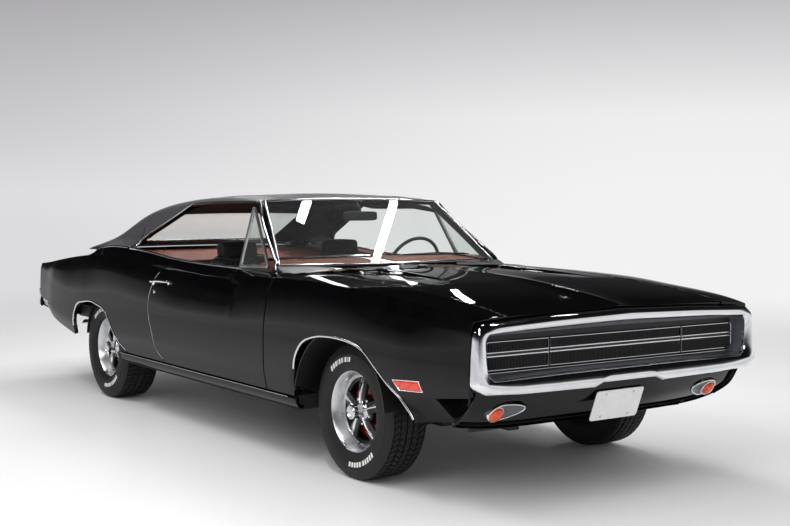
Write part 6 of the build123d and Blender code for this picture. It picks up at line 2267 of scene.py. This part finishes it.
def makeDoorCards():
    def card():
        b = Build("door_card")
        xs = np.linspace(body["doorRear"] + 60, 905, 60)
        rows = []
        for x in xs:
            top = innerEdge(x)[1] - 4
            inner = 770 if x < 720 else 770 + 18 * min(1.0, (x - 720) / 40)
            # the arm rest stands out in the middle of the card's length
            arm = math.exp(-((x - 130) / 240.0) ** 6)
            section = [(17, top - 10), (8, top), (-4, top - 4), (2, top - 40), (16, top - 90), (17 - 6 * arm, 790),
                       (14 - 64 * arm, 772)]
            section += [(10 - 72 * arm, 756), (12 - 62 * arm, 728), (17 - 10 * arm, 712), (19, 640), (19, 470),
                        (17, 400), (19.5, 382)]
            rows.append([(x, -(inner + outward), z) for outward, z in section])
        b.grid(rows, tanVinyl, flip=True)
        # pressed pleats and bright strips
        for z in (842, 700):
            b.sweep([(x, -(786 if z > 800 else 785.5), z) for x in np.linspace(xs[0] + 10, xs[-1] - 10, 20)],
                    bead(10, 4), stainlessTrim, up=(0, 1, 0))
        # the pleats are tubes in the russet trim colour darkened with painted shade in the creases
        for x in np.linspace(xs[0] + 30, xs[-1] - 30, 26):
            b.tube([(x, -788.5, 440), (x, -788.5, 680)], 3.2, shadedTan, 8)
        # window crank and latch handle
        for x, z, reach, a in ((420, 690, 95, 200), (560, 800, 70, 180)):
            o = np.array((x, -782, z))
            b.revolve([(15, -8), (14, 6), (10, 12), (0.3, 13)], o, (0, 1, 0), chromePlate, 24)
            d = np.array((math.cos(math.radians(a)), 0, math.sin(math.radians(a))))
            b.tube([o + (0, 10, 0), o + (0, 20, 0) + d * reach * 0.5, o + (0, 22, 0) + d * reach], 5.5, chromePlate, 12)
            b.revolve([(4, 18), (11, 22), (13, 34), (9, 44), (0.3, 46)], o + d * reach, (0, 1, 0), blackPlastic, 20)
        # shut faces between the skin and the card
        rearRow, frontRow = [], []
        for z in np.linspace(385, 940, 20):
            x = float(doorRearX(z)[0]) + 4
            o = float(np.interp(z, sideSection(x)[:27, 1], sideSection(x)[:27, 0])) - 40
            rearRow.append([(x, -o, z), (x + 30, -(o - 14), z), (x + 52, -792, z),
                            (body["doorRear"] + 60 if z < 900 else x + 60, -788, z)])
            frontRow.append([(947, -(914 if z < 880 else 900), z), (930, -894, z), (922, -800, z), (905, -789, z)])
        b.grid(rearRow, blackUndercoat, flip=True)
        b.grid(frontRow, blackUndercoat)
        b.grid([[(x, -940, 366), (x, -880, 372), (x, -800, 376), (x, -789, 384)] for x in np.linspace(-290, 944, 20)],
               blackUndercoat, flip=True)
        # latch plate and scuff pad of the striker
        b.box(float(doorRearX(700)[0]) + 2, float(doorRearX(700)[0]) + 8, -905, -862, 660, 730, bareSteel, 3)
        return b
    pair(card, "door_card", "door_{side}", "tan_vinyl")


def makeShelf():
    # padded shelf under the rear window, rising to its foot
    b = Build("rear_shelf_trim")
    rows = []
    for x in np.linspace(-936, -1606, 40):
        s = (-936 - x) / 670.0
        z = 928 + 44 * s * s * (3 - 2 * s)
        wide = 770 + 40 * s
        rib = 3.0 * max(0.0, math.cos(s * 670 / 60.0 * 2 * math.pi)) ** 8
        rows.append([(x, y * wide, z + rib * (abs(y) < 0.8) + 22 * max(0.0, abs(y) - 0.9) ** 1.2 * 10)
                     for y in np.linspace(-1, 1, 61)])
    b.grid(rows, tanVinyl)
    b.grid([[(p[0], p[1], p[2] - 4) for p in r] for r in rows], shelfBoard, flip=True)
    b.tube([(x + 2, y, z - 3) for x, y, z in rows[0]], 5, tanVinyl, 10)
    place(b.make(), "car_body", "shelf_board", "package_shelf")


def makeMirrorAndVisors():
    b = Build("inside_mirror")
    c = np.array((420.0, 0, 1248.0))
    rows = rounder((26, 236, 56), 0.35, (28, 14)) + c
    b.grid(rows, blackPlastic, closedV=True)
    ring = rounded([(-112, -22), (112, -22), (112, 22), (-112, 22)], 18, 6)
    b.add([(c[0] - 13.6, y, c[2] + z) for y, z in ring], [list(range(len(ring)))], reflector)
    b.tube([(426, 0, 1262), (410, 0, 1300), (378, 0, 1328)], 6, blackPlastic, 12)
    visor = rounder((150, 420, 18), 0.3, (30, 10))
    for k in (1, -1):
        # the visors are black vinyl darkened with painted shade
        b.grid(tilt(visor.reshape(-1, 3), 8, (290, k * 330, 1306)).reshape(visor.shape), headlinerShaded, closedV=True)
    place(b.make(recalc=True, merge=0.05), "car_body", "chrome")


makeSeats()
makeRearSeat()
makeQuarterTrims()
makeDash()
makeInstruments()
makeWheelAndColumn()
makeCarpet()
makeDoorCards()
makeShelf()
makeMirrorAndVisors()
print("cabin made")


def makeEngine():
    lo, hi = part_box("engine_block")
    x0, x1, y1, z1 = lo.x / mm, hi.x / mm, hi.y / mm, hi.z / mm
    xm = (x0 + x1) / 2
    b = Build("engine_dressing")
    # block and heads in a vee
    b.box(x0 + 30, x1 - 50, -y1 + 60, y1 - 60, lo.z / mm + 30, z1 - 120, engineEnamel, 12)
    for k in (1, -1):
        rows = []
        for x in np.linspace(x0 + 40, x1 - 60, 24):
            e = 1 - 0.06 * (abs(x - xm) / (x1 - x0) * 2) ** 8
            rows.append([(x, k * (y1 - 20 + dy * e), z1 - 120 + dz * e) for dy, dz in ((-6, -60), (6, -10), (0, 26),
                (-30, 52), (-90, 66), (-130, 44), (-140, 0))])
        b.grid(rows, engineEnamel, flip=k > 0)
        b.fan(rows[0], engineEnamel)
        b.fan(rows[-1], engineEnamel)
        b.revolve([(22, 0), (22, 14), (18, 18), (0.3, 19)], (x1 - 120, k * (y1 - 70), z1 - 62), (0, k * 0.3, 1),
                  chromePlate, 24)
        # exhaust manifolds and plug leads
        for i in range(4):
            x = x0 + 90 + i * (x1 - x0 - 190) / 3
            b.tube(spline([(x, k * (y1 - 30), z1 - 170), (x - 6, k * (y1 + 14), z1 - 190),
                           (x - 20, k * (y1 + 18), z1 - 250)], 10), 19, castIron, 14)
            b.tube(spline([(x, k * (y1 - 12), z1 - 130), (x - 10, k * (y1 - 60), z1 - 40), (x0 + 60, k * 40, z1 - 30)],
                          16), 3.6, hoseRubber, 8)
        b.tube([(x0 + 70, k * (y1 + 16), z1 - 252), (x1 - 80, k * (y1 + 16), z1 - 252)], 25, castIron, 16)
    # intake and a plain round air cleaner
    b.box(x0 + 80, x1 - 110, -95, 95, z1 - 140, z1 - 70, castIron, 10)
    c = (xm, 0, z1 - 62)
    b.revolve([(60, -30), (70, 0), (150, 4), (178, 8), (182, 14), (182, 20), (170, 22), (170, 48), (180, 52), (178, 58),
               (150, 63), (60, 66), (24, 68), (20, 72), (0.3, 74)], c, (0, 0, 1), satinBlack, 64)
    b.revolve([(170.5, 22), (170.5, 48)], c, (0, 0, 1), plateEnamel, 64)
    b.revolve([(16, 74), (14, 84), (6, 88), (0.3, 88.5)], c, (0, 0, 1), chromePlate, 20)
    # distributor, coil, alternator, fan and pulleys
    b.revolve([(34, 0), (34, 40), (28, 60), (12, 66), (0.3, 67)], (x0 + 50, 0, z1 - 110), (0, 0, 1), hoseRubber, 32)
    b.revolve([(26, 0), (26, 110), (10, 118), (0.3, 124)], (x0 + 120, y1 - 150, z1 - 60), (1, 0, 0.1), galvanised, 28)
    b.revolve([(20, -60), (62, -54), (66, 0), (60, 10), (30, 14), (30, 30), (0.3, 30)], (x1 - 70, y1 - 20, z1 - 140),
              (1, 0, 0), bareSteel, 36)
    for r, z, y in ((82, z1 - 300, 0), (70, z1 - 200, 0), (34, z1 - 140, y1 - 20)):
        b.revolve([(r - 10, -10), (r, -9), (r - 7, 0), (r, 9), (r - 10, 10), (12, 10)], (x1 - 34, y, z), (1, 0, 0),
                  satinBlack, 40)
    blade = Build("fan_blade")
    fan = (x1 + 6, 0, z1 - 200)
    blade.grid([[(8 + 18 * s, w, r) for w, s in ((-34, -1), (0, 0), (34, 1))] for r in (40, 120, 205)], bareSteel)
    v, f = repeated("fan_blades", blade, 6, turn=(60, 0, 0), material=bareSteel)
    b.add(v + fan, f, bareSteel)
    b.revolve([(46, -8), (46, 6), (20, 14), (0.3, 16)], fan, (1, 0, 0), bareSteel, 30)
    # belt
    b.sweep(spline([(x1 - 34, 0, z1 - 382), (x1 - 34, 80, z1 - 300), (x1 - 34, y1 + 14, z1 - 150),
                    (x1 - 34, y1 - 10, z1 - 106), (x1 - 34, 30, z1 - 132), (x1 - 34, -70, z1 - 200),
                    (x1 - 34, -80, z1 - 310)], 80, closed=True), [(-4, -5), (-4, 5), (4, 5), (4, -5)], hoseRubber,
            up=(1, 0, 0), closed=True)
    place(b.make(), "car_body", "engine_paint", "engine_block")

    return x1, z1


def makeBayFittings(x1, z1):
    # radiator, hoses, battery and boxes; x1 and z1 are the engine's front and top
    b = Build("bay_fittings")
    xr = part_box("radiator_support")[0].x / mm - 52
    b.box(xr, xr + 44, -300, 300, 330, 800, radiatorFins, 4)
    b.box(xr - 4, xr + 48, -320, 320, 800, 836, satinBlack, 8)
    b.box(xr - 4, xr + 48, -320, 320, 300, 332, satinBlack, 8)
    b.revolve([(24, 0), (24, 12), (30, 14), (30, 20), (0.3, 24)], (xr + 20, -200, 834), (0, 0, 1), stainlessTrim, 24)
    b.tube(spline([(xr + 10, -180, 812), (xr - 60, -150, 826), (x1 + 20, -90, 800), (x1 - 60, -50, z1 - 80)], 40), 21,
           hoseRubber, 18)
    b.tube(spline([(xr + 10, 200, 340), (xr - 60, 190, 350), (x1 + 10, 120, z1 - 330)], 30), 21, hoseRubber, 18)
    # battery, washer bottle, brake booster, relay box
    b.box(2095, 2325, -640, -470, 640, 830, batteryCase, 8)
    for k, y in enumerate((-600, -510)):
        b.revolve([(11, 0), (10, 20), (0.3, 21)], (2275, y, 829), (0, 0, 1), bareSteel, 16)
        b.tube(spline([(2275, y, 842), (2230, y + 20, 860), (2130, y - 20, 826), (2060, y, 700)], 24), 6, hoseRubber,
               10)
    for k in range(6):
        b.revolve([(12, 0), (12, 6), (0.3, 8)], (2125 + 26 * k, -555, 829), (0, 0, 1), blackPlastic, 12)
    b.box(2200, 2330, 500, 600, 660, 830, plateEnamel, 14)
    b.revolve([(20, 0), (120, 6), (124, 50), (118, 96), (60, 118), (0.3, 120)], (906, 420, 790), (1, 0, 0), galvanised,
              40)
    b.box(1020, 1180, 385, 455, 770, 830, castIron, 10)
    b.box(1030, 1170, 390, 450, 828, 846, bareSteel, 6)
    b.box(905, 960, -420, -240, 700, 850, satinBlack, 8)
    # hood latch and lamp wiring along the apron
    b.tube(spline([(930, 610, 830), (1400, 640, 838), (2000, 640, 830), (2380, 600, 790)], 60), 7, hoseRubber, 10)
    b.box(2470, 2500, -60, 60, 820, 846, galvanised, 4)
    place(b.make(), "car_body", "dark_grille")


makeBayFittings(*makeEngine())
print("engine bay made")


shown = [o for o in bpy.context.scene.objects if o.type == "MESH" and o.name != "floor" and not o.hide_render]
boxes = {o.name: (np.array([v.co for v in o.data.vertices]).min(0), np.array([v.co for v in o.data.vertices]).max(0))
         for o in shown}
print("triangles", sum(sum(len(f.vertices) - 2 for f in o.data.polygons) for o in shown))
slack = 0.0005
for name, (low, high) in boxes.items():
    if (low < np.array(cadBounds[0]) - slack).any() or (high > np.array(cadBounds[1]) + slack).any():
        print("outside the box", name, low, high)
